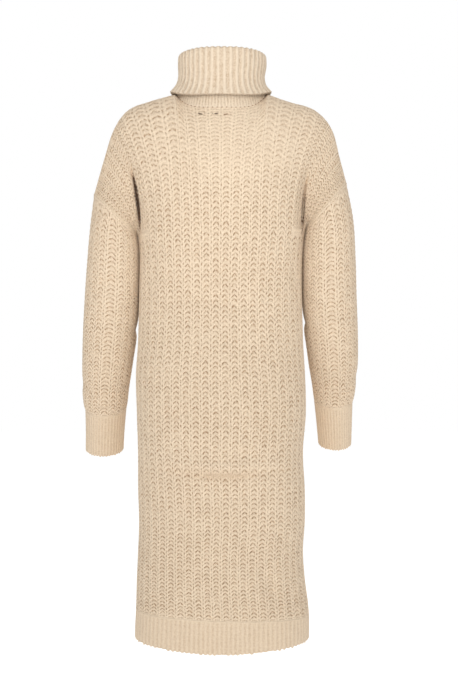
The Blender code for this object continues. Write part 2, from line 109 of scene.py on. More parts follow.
TORSO = rows_of(
    TorsoSection,
    (-1.060, 0.1665, 0.1680, 0.1145, 0.1130),
    (-1.030, 0.1670, 0.1690, 0.1140, 0.1130),
    (-0.980, 0.1652, 0.1685, 0.1130, 0.1120),
    (-0.920, 0.1635, 0.1610, 0.1140, 0.1120),
    (-0.870, 0.1612, 0.1575, 0.1150, 0.1130),
    (-0.810, 0.1592, 0.1610, 0.1160, 0.1140),
    (-0.750, 0.1610, 0.1610, 0.1170, 0.1150),
    (-0.680, 0.1612, 0.1575, 0.1250, 0.1150),
    (-0.600, 0.1635, 0.1630, 0.1255, 0.1140),
    (-0.520, 0.1650, 0.1610, 0.1150, 0.1110),
    (-0.470, 0.1615, 0.1580, 0.1060, 0.1080),
    (-0.420, 0.1600, 0.1565, 0.1000, 0.1080),
    (-0.360, 0.1590, 0.1553, 0.1010, 0.1180),
    (-0.300, 0.1583, 0.1564, 0.1090, 0.1280),
    (-0.250, 0.1620, 0.1615, 0.1120, 0.1260),
)
ROUNDNESS = 2.3  # 2 gives elliptical sections, more gives squarer ones
ARMPIT_LEFT = (0.1612, -0.262)  # outwards, up
ARMPIT_RIGHT = (0.1610, -0.250)
ARMPIT_LEVEL = (ARMPIT_LEFT[1] + ARMPIT_RIGHT[1]) / 2
HEM_SEAM = (-0.977, -0.985, -0.990)  # height of the hem rib's seam at the left, centre and right
HEM_EDGE = (-1.029, -1.046, -1.031)  # height of its lower edge
HEM_SCALLOP = 0.0034
CUFF_SCALLOP = 0.0024
CUFF_SCALLOP_POWER = 6  # how closely a cuff's scallops keep to its edge
HEM_DRAW = 0.10  # how much closer the centre wales stand at the hem
HEM_DRAW_TOP = -0.45  # height at which they start to close up
SEAM_FADE = 0.004  # the stitches flatten out over this width beside a side seam or underarm seam
ARMHOLE_FLAT = 0.002  # beside an armhole they are flat over this width
ARMHOLE_FADE = 0.005  # and rise over this one
ARMHOLE_ROWS = (4, 6)  # base rows below the armpits at which that starts, and over how many it takes over
ROW_FADE = 0.7  # courses over which they rise from a seam that runs across the wales
RIB_FADE = 0.6  # the same for fine rib and for the collar
SLEEVE_HEAD_FADE = 0.8  # the same at the armhole's end of a sleeve, and at a cuff's seam
FOLD_FADE = 0.06  # folds die out where the body is less deep than this, beside the side seams
FOLD_SAMPLES = 40
FOLD_TAPER = 2.5  # how fast a fold fades towards its ends
FOLD_TAPER_POWER = 1.2
ROLL_PLACE = 2.0  # where the soft roll above a crease lies, in half widths of the crease
ROLL_SPREAD = 1.6  # how wide it is


class CoursePitch(NamedTuple):
    """How high one course of stitches stands at a height of the body."""

    height: float
    pitch: float


PITCH = rows_of(
    CoursePitch,
    (-1.000, 0.0068),
    (-0.870, 0.0072),
    (-0.770, 0.0084),
    (-0.620, 0.0090),
    (-0.450, 0.0093),
    (-0.250, 0.0096),
)


class Fold(NamedTuple):
    """A crease of a panel, from one end past a middle point to the other end."""

    face: Face
    start: tuple[float, float]  # across, up
    middle: tuple[float, float]
    end: tuple[float, float]
    half_width: float
    depth: float
    lip: float  # height of the soft roll above it, as a share of its depth


FOLDS = rows_of(
    Fold,
    (Face.BACK, (-0.160, -0.688), (-0.012, -0.712), (0.160, -0.696), 0.0075, 0.0085, 0.55),
    (Face.BACK, (-0.135, -0.391), (0.000, -0.391), (0.105, -0.412), 0.013, 0.0036, 0.30),
    (Face.BACK, (-0.135, -0.592), (-0.090, -0.600), (-0.045, -0.602), 0.010, 0.0028, 0.30),
    (Face.BACK, (0.000, -0.660), (0.040, -0.670), (0.082, -0.680), 0.009, 0.0026, 0.30),
    (Face.BACK, (0.062, -0.860), (0.092, -0.915), (0.108, -0.985), 0.013, 0.0056, 0.20),
    (Face.BACK, (0.128, -0.905), (0.136, -0.960), (0.132, -1.010), 0.010, 0.0042, 0.20),
    (Face.BACK, (-0.128, -0.290), (-0.140, -0.350), (-0.137, -0.440), 0.011, 0.0044, 0.20),
    (Face.BACK, (0.134, -0.300), (0.142, -0.360), (0.140, -0.430), 0.011, 0.0040, 0.20),
    (Face.FRONT, (-0.120, -0.405), (0.010, -0.422), (0.130, -0.404), 0.014, 0.0044, 0.35),
    (Face.FRONT, (-0.120, -0.548), (-0.015, -0.562), (0.095, -0.574), 0.012, 0.0036, 0.30),
    (Face.FRONT, (-0.066, -0.800), (-0.080, -0.880), (-0.090, -0.975), 0.014, 0.0052, 0.20),
    (Face.FRONT, (0.090, -0.840), (0.104, -0.900), (0.108, -0.970), 0.012, 0.0040, 0.20),
    (Face.FRONT, (-0.120, -0.180), (-0.080, -0.205), (-0.040, -0.215), 0.014, 0.0030, 0.20),
)


class ShoulderPoint(NamedTuple):
    """A point of the line from the dropped armhole up the arm and along the shoulder to the neck."""

    outwards: float
    height: float


NECK_HALF_WIDTH = 0.088
NECK_POINT_HEIGHT = 0.012
NECK_DEPTH = {Face.BACK: 0.078, Face.FRONT: 0.092}
NECK_DROP = {Face.BACK: 0.036, Face.FRONT: 0.074}
NECK_SHARE = 2 / 3  # where the neck point lies, as a share of the way from armhole to centre line
NECK_PACE = 1.2  # 1 spaces the wales' ends round the neck evenly as seen from behind
NECK_BLEND = 0.07  # share of the way over which the wales beside the neck point are evened out
ARM_HALF_DEPTH = 0.060
ARM_ROUNDNESS = 2.5  # of a sleeve between its seams, where it is an ellipse
SEAM_RINGS = 0.1  # share of a sleeve, from each seam, over which it changes
SHOULDER_TURN = 2.4  # how squarely the yoke turns over the shoulder: 2 is an ellipse

SHOULDER = {
    Hand.LEFT: rows_of(
        ShoulderPoint,
        (0.2460, -0.181),
        (0.2270, -0.114),
        (0.2080, -0.056),
        (0.1800, -0.018),
        (0.1330, 0.000),
        (NECK_HALF_WIDTH, NECK_POINT_HEIGHT),
    ),
    Hand.RIGHT: rows_of(
        ShoulderPoint,
        (0.2412, -0.159),
        (0.2288, -0.112),
        (0.2125, -0.054),
        (0.1795, -0.018),
        (0.1290, -0.002),
        (NECK_HALF_WIDTH, NECK_POINT_HEIGHT),
    ),
}


class YokeWale(NamedTuple):
    """How a wale runs over the yoke, by its share of the way from armhole (0) to centre line (1)."""

    share: float
    top: float  # its share of the way along the shoulder line
    swell: float  # how far it bows out between its ends
    swell_power: float  # 0.5 is a half ellipse, 1 a shallow arch
    upright: float  # 0 is a straight run, 1 leaves the body straight up


YOKE = rows_of(
    YokeWale,
    (0.000, 0.00, 0.0600, 0.5, 0.0),
    (0.083, 0.16, 0.0300, 0.6, 0.7),
    (0.167, 0.32, 0.0120, 0.8, 1.0),
    (0.333, 0.57, 0.0020, 1.0, 1.0),
    (0.500, 0.77, 0.0030, 1.0, 1.0),
    (0.667, 1.00, 0.0050, 1.0, 1.0),
    (1.000, 1.00, 0.0080, 1.0, 1.0),
)


class CreasePoint(NamedTuple):
    """A point of the crease between arm and body, and the shares of the depth that its trough and slit take."""

    height: float
    outwards: float
    trough: float
    slit: float


ARM_CREASE = {
    Hand.LEFT: rows_of(
        CreasePoint,
        (-0.300, 0.1560, 0.00, 0.08),
        (-0.270, 0.1557, 0.08, 0.16),
        (-0.234, 0.1565, 0.14, 0.36),
        (-0.215, 0.1580, 0.16, 0.58),
        (-0.196, 0.1603, 0.16, 0.60),
        (-0.165, 0.1650, 0.12, 0.45),
        (-0.145, 0.1690, 0.08, 0.22),
        (-0.128, 0.1722, 0.02, 0.00),
    ),
    Hand.RIGHT: rows_of(
        CreasePoint,
        (-0.300, 0.1550, 0.00, 0.08),
        (-0.270, 0.1540, 0.12, 0.20),
        (-0.234, 0.1550, 0.26, 0.44),
        (-0.205, 0.1568, 0.28, 0.42),
        (-0.177, 0.1590, 0.22, 0.25),
        (-0.150, 0.1630, 0.10, 0.05),
        (-0.128, 0.1665, 0.00, 0.00),
    ),
}
TROUGH_ARM_SIDE = 0.013  # how far the trough opens towards the arm
TROUGH_BODY_SIDE = 0.008  # and towards the body
SLIT_LEAST = 0.0012  # half width of the slit at its ends
SLIT_GAIN = 0.0026  # and how much it gains for each unit of its share
INSIDE_CREASE = 1.40  # the inner side's trough, as a share of the slit
TROUGH_SHADE = 1.30  # how dark the painted shade in the trough gets, for each unit of its share
TROUGH_POWER, SLIT_POWER, INSIDE_POWER = 1.7, 2.4, 1.8  # 2 makes a bell, more makes it squarer
FULL_SLIT = 0.5  # share of the depth from which a slit gets the full painted shade


class ArmSection(NamedTuple):
    """One ring of a sleeve or cuff: its inner and outer ends, how far forward it sits, its half depth and lean."""

    inner: float
    inner_height: float
    outer: float
    outer_height: float
    forward: float
    half_depth: float
    lean: float  # degrees, how far the arm slopes forward here


SLEEVE = {
    Hand.LEFT: rows_of(
        ArmSection,
        (0.1612, -0.262, 0.2460, -0.181, 0.0000, ARM_HALF_DEPTH, 0.0),
        (0.1580, -0.284, 0.2545, -0.250, 0.0060, 0.0600, 3.0),
        (0.1579, -0.335, 0.2610, -0.315, 0.0160, 0.0600, 8.0),
        (0.1590, -0.385, 0.2665, -0.378, 0.0280, 0.0585, 12.0),
        (0.1645, -0.440, 0.2710, -0.440, 0.0420, 0.0560, 15.0),
        (0.1730, -0.500, 0.2740, -0.500, 0.0580, 0.0525, 18.0),
        (0.1820, -0.552, 0.2750, -0.552, 0.0750, 0.0485, 20.0),
        (0.1862, -0.583, 0.2740, -0.583, 0.0860, 0.0450, 21.0),
        (0.1895, -0.598, 0.2712, -0.598, 0.0915, 0.0405, 21.0),
    ),
    Hand.RIGHT: rows_of(
        ArmSection,
        (0.1610, -0.250, 0.2412, -0.159, 0.0000, ARM_HALF_DEPTH, 0.0),
        (0.1565, -0.285, 0.2548, -0.230, 0.0060, 0.0600, 3.0),
        (0.1552, -0.335, 0.2602, -0.305, 0.0160, 0.0600, 8.0),
        (0.1562, -0.385, 0.2630, -0.372, 0.0280, 0.0585, 12.0),
        (0.1615, -0.440, 0.2665, -0.440, 0.0420, 0.0560, 15.0),
        (0.1695, -0.500, 0.2680, -0.500, 0.0580, 0.0520, 18.0),
        (0.1775, -0.545, 0.2648, -0.545, 0.0730, 0.0470, 20.0),
        (0.1810, -0.568, 0.2628, -0.568, 0.0810, 0.0435, 21.0),
        (0.1835, -0.583, 0.2598, -0.583, 0.0865, 0.0395, 21.0),
    ),
}
CUFF = {
    Hand.LEFT: rows_of(
        ArmSection,
        SLEEVE[Hand.LEFT][-1],
        (0.1940, -0.640, 0.2718, -0.640, 0.1075, 0.0380, 21.0),
        (0.1970, -0.678, 0.2735, -0.678, 0.1218, 0.0385, 21.0),
    ),
    Hand.RIGHT: rows_of(
        ArmSection,
        SLEEVE[Hand.RIGHT][-1],
        (0.1890, -0.627, 0.2598, -0.627, 0.1035, 0.0370, 21.0),
        (0.1932, -0.666, 0.2600, -0.666, 0.1180, 0.0375, 21.0),
    ),
}


class ArmFold(NamedTuple):
    """A soft crease part of the way round a sleeve."""

    around: float  # turns from the underarm by the back
    along: float  # share of the sleeve's length
    half_turn: float
    slope: float  # shares of the length for each turn
    half_width: float  # share of the length
    depth: float


ARM_FOLDS = rows_of(
    ArmFold,
    (0.86, 0.56, 0.17, 0.10, 0.030, 0.0060),
    (0.82, 0.66, 0.14, -0.12, 0.028, 0.0048),
    (0.21, 0.30, 0.10, 0.35, 0.035, 0.0042),
    (0.22, 0.48, 0.12, 0.28, 0.035, 0.0026),
    (0.30, 0.86, 0.18, -0.06, 0.028, 0.0034),
    (0.72, 0.88, 0.16, 0.06, 0.028, 0.0040),
    (0.79, 0.22, 0.10, -0.30, 0.035, 0.0040),
)
ARM_FOLD_LIP = 0.35  # height of the soft roll beside each, as a share of its depth
ARM_FOLD_ENDS = 0.06  # share of a sleeve, from each seam, over which they fade
RING_SAMPLES = 8  # points of a ring that find its middle


class CollarRing(NamedTuple):
    """One ring of the collar, from the neck seam up the inside, over the fold and down to the free edge.

    It gives the face that looks outwards on the standing layer and inwards on the folded one.
    """

    left: float
    right: float
    back: float
    front: float
    side_height: float
    back_height: float
    front_height: float


COLLAR = rows_of(
    CollarRing,
    (0.0876, 0.0876, 0.0776, 0.0916, 0.0125, -0.0235, -0.0615),
    (0.0800, 0.0800, 0.0720, 0.0840, 0.0300, 0.0040, -0.0300),
    (0.0750, 0.0760, 0.0680, 0.0770, 0.0520, 0.0400, 0.0050),
    (0.0742, 0.0765, 0.0680, 0.0750, 0.0715, 0.0700, 0.0440),
    (0.0752, 0.0782, 0.0692, 0.0760, 0.0820, 0.0860, 0.0620),
    (0.0770, 0.0800, 0.0710, 0.0777, 0.0841, 0.0884, 0.0642),
    (0.0787, 0.0817, 0.0728, 0.0795, 0.0820, 0.0862, 0.0620),
    (0.0793, 0.0820, 0.0745, 0.0825, 0.0655, 0.0660, 0.0400),
    (0.0788, 0.0788, 0.0750, 0.0880, 0.0450, 0.0400, 0.0060),
    (0.0840, 0.0822, 0.0768, 0.0970, 0.0280, 0.0180, -0.0240),
    (0.0958, 0.0935, 0.0810, 0.1080, 0.0140, 0.0000, -0.0470),
)


# ---- Curves and grids ----


def column(table: Sequence, name: str) -> Array:
    """One named column of a table, as an array."""
    return np.array([getattr(row, name) for row in table], dtype=float)


def through(knots: Array, values: Array, places: Array) -> Array:
    """A smooth curve through the knots: on each span, the cubic with the knots' mean slopes.

    Args:
        knots: rising places of the known values.
        values: one value or row of values for each knot.
        places: where the curve is read; beyond the last knots it stays level.

    Returns:
        The values at the places, with one more axis where each knot holds a row.
    """
    slopes = np.gradient(values, knots, axis=0)
    places = np.clip(places, knots[0], knots[-1])
    index = np.clip(np.searchsorted(knots, places, side="right") - 1, 0, len(knots) - 2)
    width = knots[index + 1] - knots[index]
    part = (places - knots[index]) / width
    if np.ndim(values) > 1:
        width, part = width[..., None], part[..., None]
    rise = part * part * (3 - 2 * part)
    start = part * (1 - part) ** 2 * width * slopes[index]
    end = part * part * (part - 1) * width * slopes[index + 1]
    return values[index] * (1 - rise) + values[index + 1] * rise + start + end


def looked_up(table: Sequence, name: str, key: str, places: Array) -> Array:
    """One column of a table, read smoothly at places along another column."""
    return through(column(table, key), column(table, name), places)


def read_table(table: Sequence[NamedTuple], knots: Array, places: Array) -> NamedTuple:
    """Every column of a table, read smoothly at places between its rows, each as an upright array."""
    return type(table[0])(*(through(knots, column(table, name), places)[:, None] for name in table[0]._fields))


def across_hem(heights: Sequence[float], shares: Array) -> Array:
    """Heights that are given at the left, centre and right of a panel, read smoothly across it."""
    return through(np.array([0.0, 0.5, 1.0]), np.array(heights), shares)


def travelled(points: Array) -> Array:
    """Distances along a chain of points from its first point."""
    steps = np.linalg.norm(np.diff(points, axis=0), axis=1)
    return np.concatenate([[0.0], np.cumsum(steps)])


def read_chain(values: Array, knots: Array, places: Array) -> Array:
    """Points or directions, given one for each knot, read straight between the knots."""
    return np.stack([np.interp(places, knots, values[:, axis]) for axis in range(values.shape[1])], axis=-1)


def spaced(points: Array, shares: Array) -> Array:
    """Points at the given shares of a curve's length."""
    length = travelled(points)
    return read_chain(points, length, shares * length[-1])


def bent(start: Array, guide: Array, end: Array, along: Array) -> Array:
    """A quadratic curve: (1 - t)^2 times its start, 2 t (1 - t) times its guide and t^2 times its end."""
    return (1 - along) ** 2 * start + 2 * along * (1 - along) * guide + along**2 * end


def ramp(value: Array, width: float) -> Array:
    """Rises straight from 0 at 0 to 1 at the width, and is level on both sides."""
    return np.clip(value / width, 0, 1)


def bell(distance: Array, power: float) -> Array:
    """1 at 0, falling off on both sides: exp(-|distance|^power)."""
    return np.exp(-np.abs(distance) ** power)


def crease_profile(over: Array, lip: float) -> Array:
    """A crease and the soft roll above it: exp(-over^2) less lip times exp(-(over - place)^2 / spread)."""
    return np.exp(-(over**2)) - lip * np.exp(-((over - ROLL_PLACE) ** 2) / ROLL_SPREAD)


def signed_power(value: Array, power: Array | float) -> Array:
    """A value's size to a power, with its sign kept."""
    return np.sign(value) * np.abs(value) ** power


def unit(vectors: Array) -> Array:
    """The same directions, each of length 1."""
    return vectors / np.linalg.norm(vectors, axis=-1, keepdims=True)


def read_rows(grid: Array, places: Array) -> Array:
    """Reads a grid between its rows, at other places in each column, with the Catmull-Rom cubic.

    Args:
        grid: rows by columns by values.
        places: fractional row numbers, new rows by columns.

    Returns:
        New rows by columns by values.
    """
    rows = len(grid)
    first = np.clip(np.floor(places).astype(int), 0, rows - 2)
    part = (places - first)[..., None]
    across = np.arange(grid.shape[1])[None, :]
    before, here, after, beyond = (grid[np.clip(first + step, 0, rows - 1), across] for step in (-1, 0, 1, 2))
    return here + part / 2 * (
        after - before
        + part * (2 * before - 5 * here + 4 * after - beyond + part * (3 * (here - after) + beyond - before))
    )


def normals_of(surface: Array, closed: bool) -> Array:
    """Unit normals of a grid: the cross product of the differences between neighbours each way.

    Args:
        surface: rows by columns by 3.
        closed: whether the last column lies beside the first.

    Returns:
        Rows by columns by 3.
    """
    along = np.gradient(surface, axis=0)
    if closed:
        across = np.roll(surface, -1, axis=1) - np.roll(surface, 1, axis=1)
    else:
        across = np.gradient(surface, axis=1)
    normal = np.cross(across, along)
    return normal / np.maximum(np.linalg.norm(normal, axis=-1, keepdims=True), LEAST_LENGTH)


def softened(grid: Array, closed: bool, passes: int) -> Array:
    """The grid after each value has been averaged with its neighbours, which count half as much.

    Args:
        grid: rows by columns by values.
        closed: whether the last column lies beside the first.
        passes: how many times it is done.

    Returns:
        Rows by columns by values.
    """
    for _ in range(passes):
        wide = np.pad(grid, ((0, 0), (1, 1), (0, 0)), mode="wrap" if closed else "edge")
        grid = (wide[:, :-2] + 2 * wide[:, 1:-1] + wide[:, 2:]) / 4
        tall = np.pad(grid, ((1, 1), (0, 0), (0, 0)), mode="edge")
        grid = (tall[:-2] + 2 * tall[1:-1] + tall[2:]) / 4
    return grid


def flattened(normal: Array, direction: Sequence[float]) -> Array:
    """Normals with their part along a direction taken out."""
    square = unit(np.asarray(direction, dtype=float))
    return unit(normal - (normal @ square)[..., None] * square)


def wander(
    rows: Array, columns: Array, cell: tuple[float, float], seed: int, around: int | None = None
) -> Array:
    """A smooth uneven field of about -1 to 1: random values on a coarse grid, read smoothly between them.

    Args:
        rows, columns: where the field is read, in courses and wales.
        cell: distance between the random values, in courses and wales.
        seed: picks the field.
        around: how many wales make one turn, on a piece that closes.

    Returns:
        Rows by columns.
    """
    coarse = np.random.default_rng(seed).uniform(-1, 1, LATTICE)
    across = columns / cell[1]
    if around is not None:
        turns = max(int(round(around / cell[1])), 1)
        across = (columns / around * turns) % turns
        coarse = np.concatenate([coarse[:, :turns], coarse[:, :1]], axis=1)
    field_rows = through(np.arange(LATTICE[0], dtype=float), coarse, rows / cell[0])
    return through(np.arange(coarse.shape[1], dtype=float), field_rows.T, across).T


# ---- Knit patterns ----


class WaleStep(NamedTuple):
    """One sample across a wale: its place, how far it lies below the crest, and its share of the strands' wave."""

    place: float
    drop: float
    wave: float


WIDE_WALE = rows_of(
    WaleStep,
    (0.00, 0.00090, 0.55),
    (0.11, 0.00015, 0.30),
    (0.23, 0.00045, 0.80),
    (0.36, 0.00045, 1.00),
    (0.50, 0.00020, 0.60),
    (0.64, 0.00045, 1.00),
    (0.77, 0.00045, 0.80),
    (0.89, 0.00015, 0.30),
)
CORD_WALE = rows_of(
    WaleStep,
    (0.00, 0.00210, 0.20),
    (0.16, 0.00150, 0.50),
    (0.34, 0.00045, 0.90),
    (0.50, 0.00000, 1.00),
    (0.66, 0.00045, 0.90),
    (0.84, 0.00150, 0.50),
)
FINE_WALE = rows_of(
    WaleStep,
    (0.00, 0.00120, 0.20),
    (0.20, 0.00055, 0.70),
    (0.40, 0.00005, 1.00),
    (0.60, 0.00005, 1.00),
    (0.80, 0.00055, 0.70),
)
BAND_WALE = rows_of(
    WaleStep,
    (0.00, 0.00150, 0.20),
    (0.34, 0.00015, 1.00),
    (0.66, 0.00015, 1.00),
)
STRAND_PROFILE = (0.0, 0.30, 1.0, 0.30)  # how far each row of a course dips, from a strand's top to the next
CLIMB_POWER = 1.12  # 1 makes pointed strands, more makes them round at the top
EDGE_COURSES = 1.5  # courses from the first and last rows over which the strands start to climb
FAN_COURSES = 2  # the same on both sides of the joint where wales divide
DRIFT = 0.10  # how far the rows wander, in courses
DRIFT_CELL = (1.5, 2.0)  # over what distances, in courses and wales
DRIFT_SEED = 50
STITCH_CELL = (0.75, 0.8)  # distances over which the depth of the stitches changes
DROP_UNEVENNESS = 0.15  # how much the grooves between the wales differ
NARROW_DEPTH = 0.85  # depth of narrow wales, as a share of the others'
SEAM_DIP = 0.04  # what is left of the wave where a seam draws the cloth flat
SCALLOP_SEED = 7
SCALLOP_RANGE = (0.2, 1.0)  # the smallest and largest scallops


class Columns(NamedTuple):
    """The grid columns of a knitted piece."""

    share: Array  # places across the piece, from 0 to 1
    number: Array  # the same in wales
    place: Array  # place within its own wale
    weave: Array  # the count of narrow wales, so that the yarn's marks fall in with them
    drop: Array  # the wale's table, read for each column
    wave: Array
    split: Array  # whether it belongs to one of several narrow wales that fan out of a single one


@dataclass(frozen=True)
class Knit:
    """A pattern of stitches on a grid of wales and courses."""

    wales: int  # columns of stitches across the piece, or round it
    courses: int  # rows of stitches along it
    steps: tuple[WaleStep, ...]  # the samples across one wale
    wave: float  # depth of the dip between two strands
    rise: float  # how many courses a strand climbs from the edge of its wale to the middle
    closed: bool = True  # whether the piece goes all the way round
    climbs: int = 1  # 1 where the strands point to the last course, -1 to the first
    first: float = 0.0  # where the first wale starts, as a share of a wale
    unevenness: float = 0.30  # how much the dips differ from stitch to stitch
    seed: int = 1  # picks the unevenness

    def columns(self, splits: Sequence[int] = ()) -> Columns:
        """The piece's columns, from wale to wale.

        Args:
            splits: how many narrow wales stand in the place of each one; none if empty.

        Returns:
            The columns of every wale's samples, and one more where the piece is open.
        """
        counts = np.array(splits) if len(splits) else np.ones(self.wales, dtype=int)
        narrow, steps = int(counts.sum()), len(self.steps)
        host = np.repeat(np.repeat(np.arange(self.wales), counts), steps)
        count = np.repeat(np.repeat(counts, counts), steps)
        inside = np.repeat(np.concatenate([np.arange(size) for size in counts]), steps)
        place, drop, wave = (np.tile(column(self.steps, name), narrow) for name in WaleStep._fields)
        number = host + (inside + place) / count + self.first
        extra = (narrow - self.wales) // 2
        weave = np.repeat(np.arange(narrow), steps) + place - extra
        if not self.closed:
            drop[0] = 0.0
            ends = ((number, self.wales), (place, 0.0), (weave, narrow - extra), (drop, 0.0), (wave, wave[0]))
            number, place, weave, drop, wave = (np.append(values, last) for values, last in ends)
            count = np.append(count, count[-1])
        return Columns(number / self.wales, number, place, weave, drop, wave, count > 1)

    def field(self, rows: Array, columns: Columns, cell: tuple[float, float], offset: int) -> Array:
        """An uneven field over the given rows and columns, the same wherever a stitch is read."""
        around = self.wales if self.closed else None
        return wander(rows, columns.number, cell, self.seed + offset, around)

    def climbed(self, rows: Array, columns: Columns, joint: float | None = None) -> Array:
        """Where each grid point lies, in courses, once its strand has climbed to the middle of its wale.

        A point falls back by the rise times |2 place - 1| to the climb power. It doesn't on the first and last
        rows, nor where narrow wales fan out at the joint. Up the yoke the strands get flatter.

        Args:
            rows: courses at which the grid has rows.
            columns: the grid's columns.
            joint: the course at which some wales divide.

        Returns:
            Rows by columns.
        """
        rows = rows[:, None]
        fall = self.rise * np.abs(2 * columns.place - 1)[None, :] ** CLIMB_POWER
        ends = ramp(np.minimum(rows, self.courses - rows), EDGE_COURSES)
        if joint is not None:
            ends = np.where(dividing(columns), ends * ramp(np.abs(rows - joint), FAN_COURSES), ends)
            ends = ends * (1 - YOKE_FLATTER * ramp(rows - joint, self.courses - joint))
        drift = DRIFT * self.field(rows[:, 0], columns, DRIFT_CELL, DRIFT_SEED)
        return np.clip(rows - self.climbs * (fall - drift) * ends, 0, self.courses)

    def dips(self, rows: Array, columns: Columns, calm: Array) -> Array:
        """How far each grid point lies below the crest, in metres.

        The dip is the wale's own drop plus the wave times the strand profile. Narrow wales have a shallower one.

        Args:
            rows: courses at which the grid has rows.
            columns: the grid's columns.
            calm: 1 where the stitches stand out, falling to 0 where a seam draws them flat.

        Returns:
            Rows by columns.
        """
        phase = np.round((rows % 1) * ROWS_PER_COURSE).astype(int) % ROWS_PER_COURSE
        profile = np.array(STRAND_PROFILE)[phase][:, None]
        per_stitch = self.field(rows, columns, STITCH_CELL, 0)
        deep = profile * columns.wave[None, :] * (1 + self.unevenness * per_stitch)
        drop = columns.drop[None, :] * (1 + DROP_UNEVENNESS * per_stitch)
        narrow = np.where(columns.split, NARROW_DEPTH, 1.0)[None, :]
        return calm * (drop + self.wave * deep) * narrow + (1 - calm) * SEAM_DIP * self.wave


def dividing(columns: Columns) -> Array:
    """Whether each column belongs to a wale of the body that divides at the armpits, as one row."""
    return np.isin(np.floor(columns.number).astype(int), SPLIT_WALES)[None, :]


BODY_KNIT = Knit(24, 112, WIDE_WALE, wave=0.0024, rise=1.00, closed=False, unevenness=0.32, seed=11)
YOKE_COURSES = 28
YOKE_PITCH = 0.0095  # height of a course at the armpits
YOKE_PACES = (0.82, 1.18)  # the closest and widest that a wale's rows may start, as shares of that height
YOKE_PACE_POWER = 4  # 1 would spread the difference evenly, more leaves it to the wale's end
YOKE_FLATTER = 0.45  # how much less its strands climb at the neck
YOKE_SOFTER = 0.48  # share of their depth and of their painted shade that its stitches lose where it is stretched over the shoulders
SOFT_START, SOFT_SPAN = 0.15, 0.45  # from where on the way up, and over how much of it
SOFT_MIDDLE, SOFT_WIDTH = 0.58, 0.30  # where that is, as shares of the way across
SPLIT_SHADE_AND_RELIEF = 1.30  # how much more the narrow wales over the arms are marked with painted shade and sunk relief
JOINT_COURSES = 1.5  # courses over which the stitches fade on both sides of the joint where wales divide
JOINT_LEAST = 0.1  # what is left of them there
YOKE_SPLITS = (3, 2, 2, 2) + (1,) * 16 + (2, 2, 2, 3)  # wales that fan out over the arm above each of the body's
SPLIT_WALES = [number for number, split in enumerate(YOKE_SPLITS) if split > 1]
SLEEVE_KNIT = Knit(20, 48, WIDE_WALE, wave=0.0024, rise=1.00, climbs=-1, first=0.5, unevenness=0.34, seed=23)
HEM_KNIT = Knit(48, 9, FINE_WALE, wave=0.0002, rise=0.30, closed=False, unevenness=0.5, seed=31)
CUFF_KNIT = Knit(38, 12, FINE_WALE, wave=0.0002, rise=0.30, climbs=-1, unevenness=0.5, seed=37)
ROLL_KNIT = Knit(44, 28, CORD_WALE, wave=0.0002, rise=0.35, unevenness=0.5, seed=41)
BAND_KNIT = Knit(88, 28, BAND_WALE, wave=0.0002, rise=0.30, unevenness=0.4, seed=43)


# ---- The form of each piece ----


class Form(NamedTuple):
    """A smooth surface at the crest of the knit, on the columns of a piece and two rows to each course."""

    surface: Array  # rows by columns by 3
    normal: Array  # outward normals
    calm: Array  # 1 where the stitches stand out, falling to 0 beside a seam
    shade: Array  # mask of the painted crease shade: 1 in the depths of a crease, 0 on open cloth


def uncreased(surface: Array, normal: Array, calm: Array) -> Form:
    """A form without deep creases, whose calm may be given as one value for each row."""
    plain = np.zeros(surface.shape[:2])
    return Form(surface, normal, calm + plain, plain)


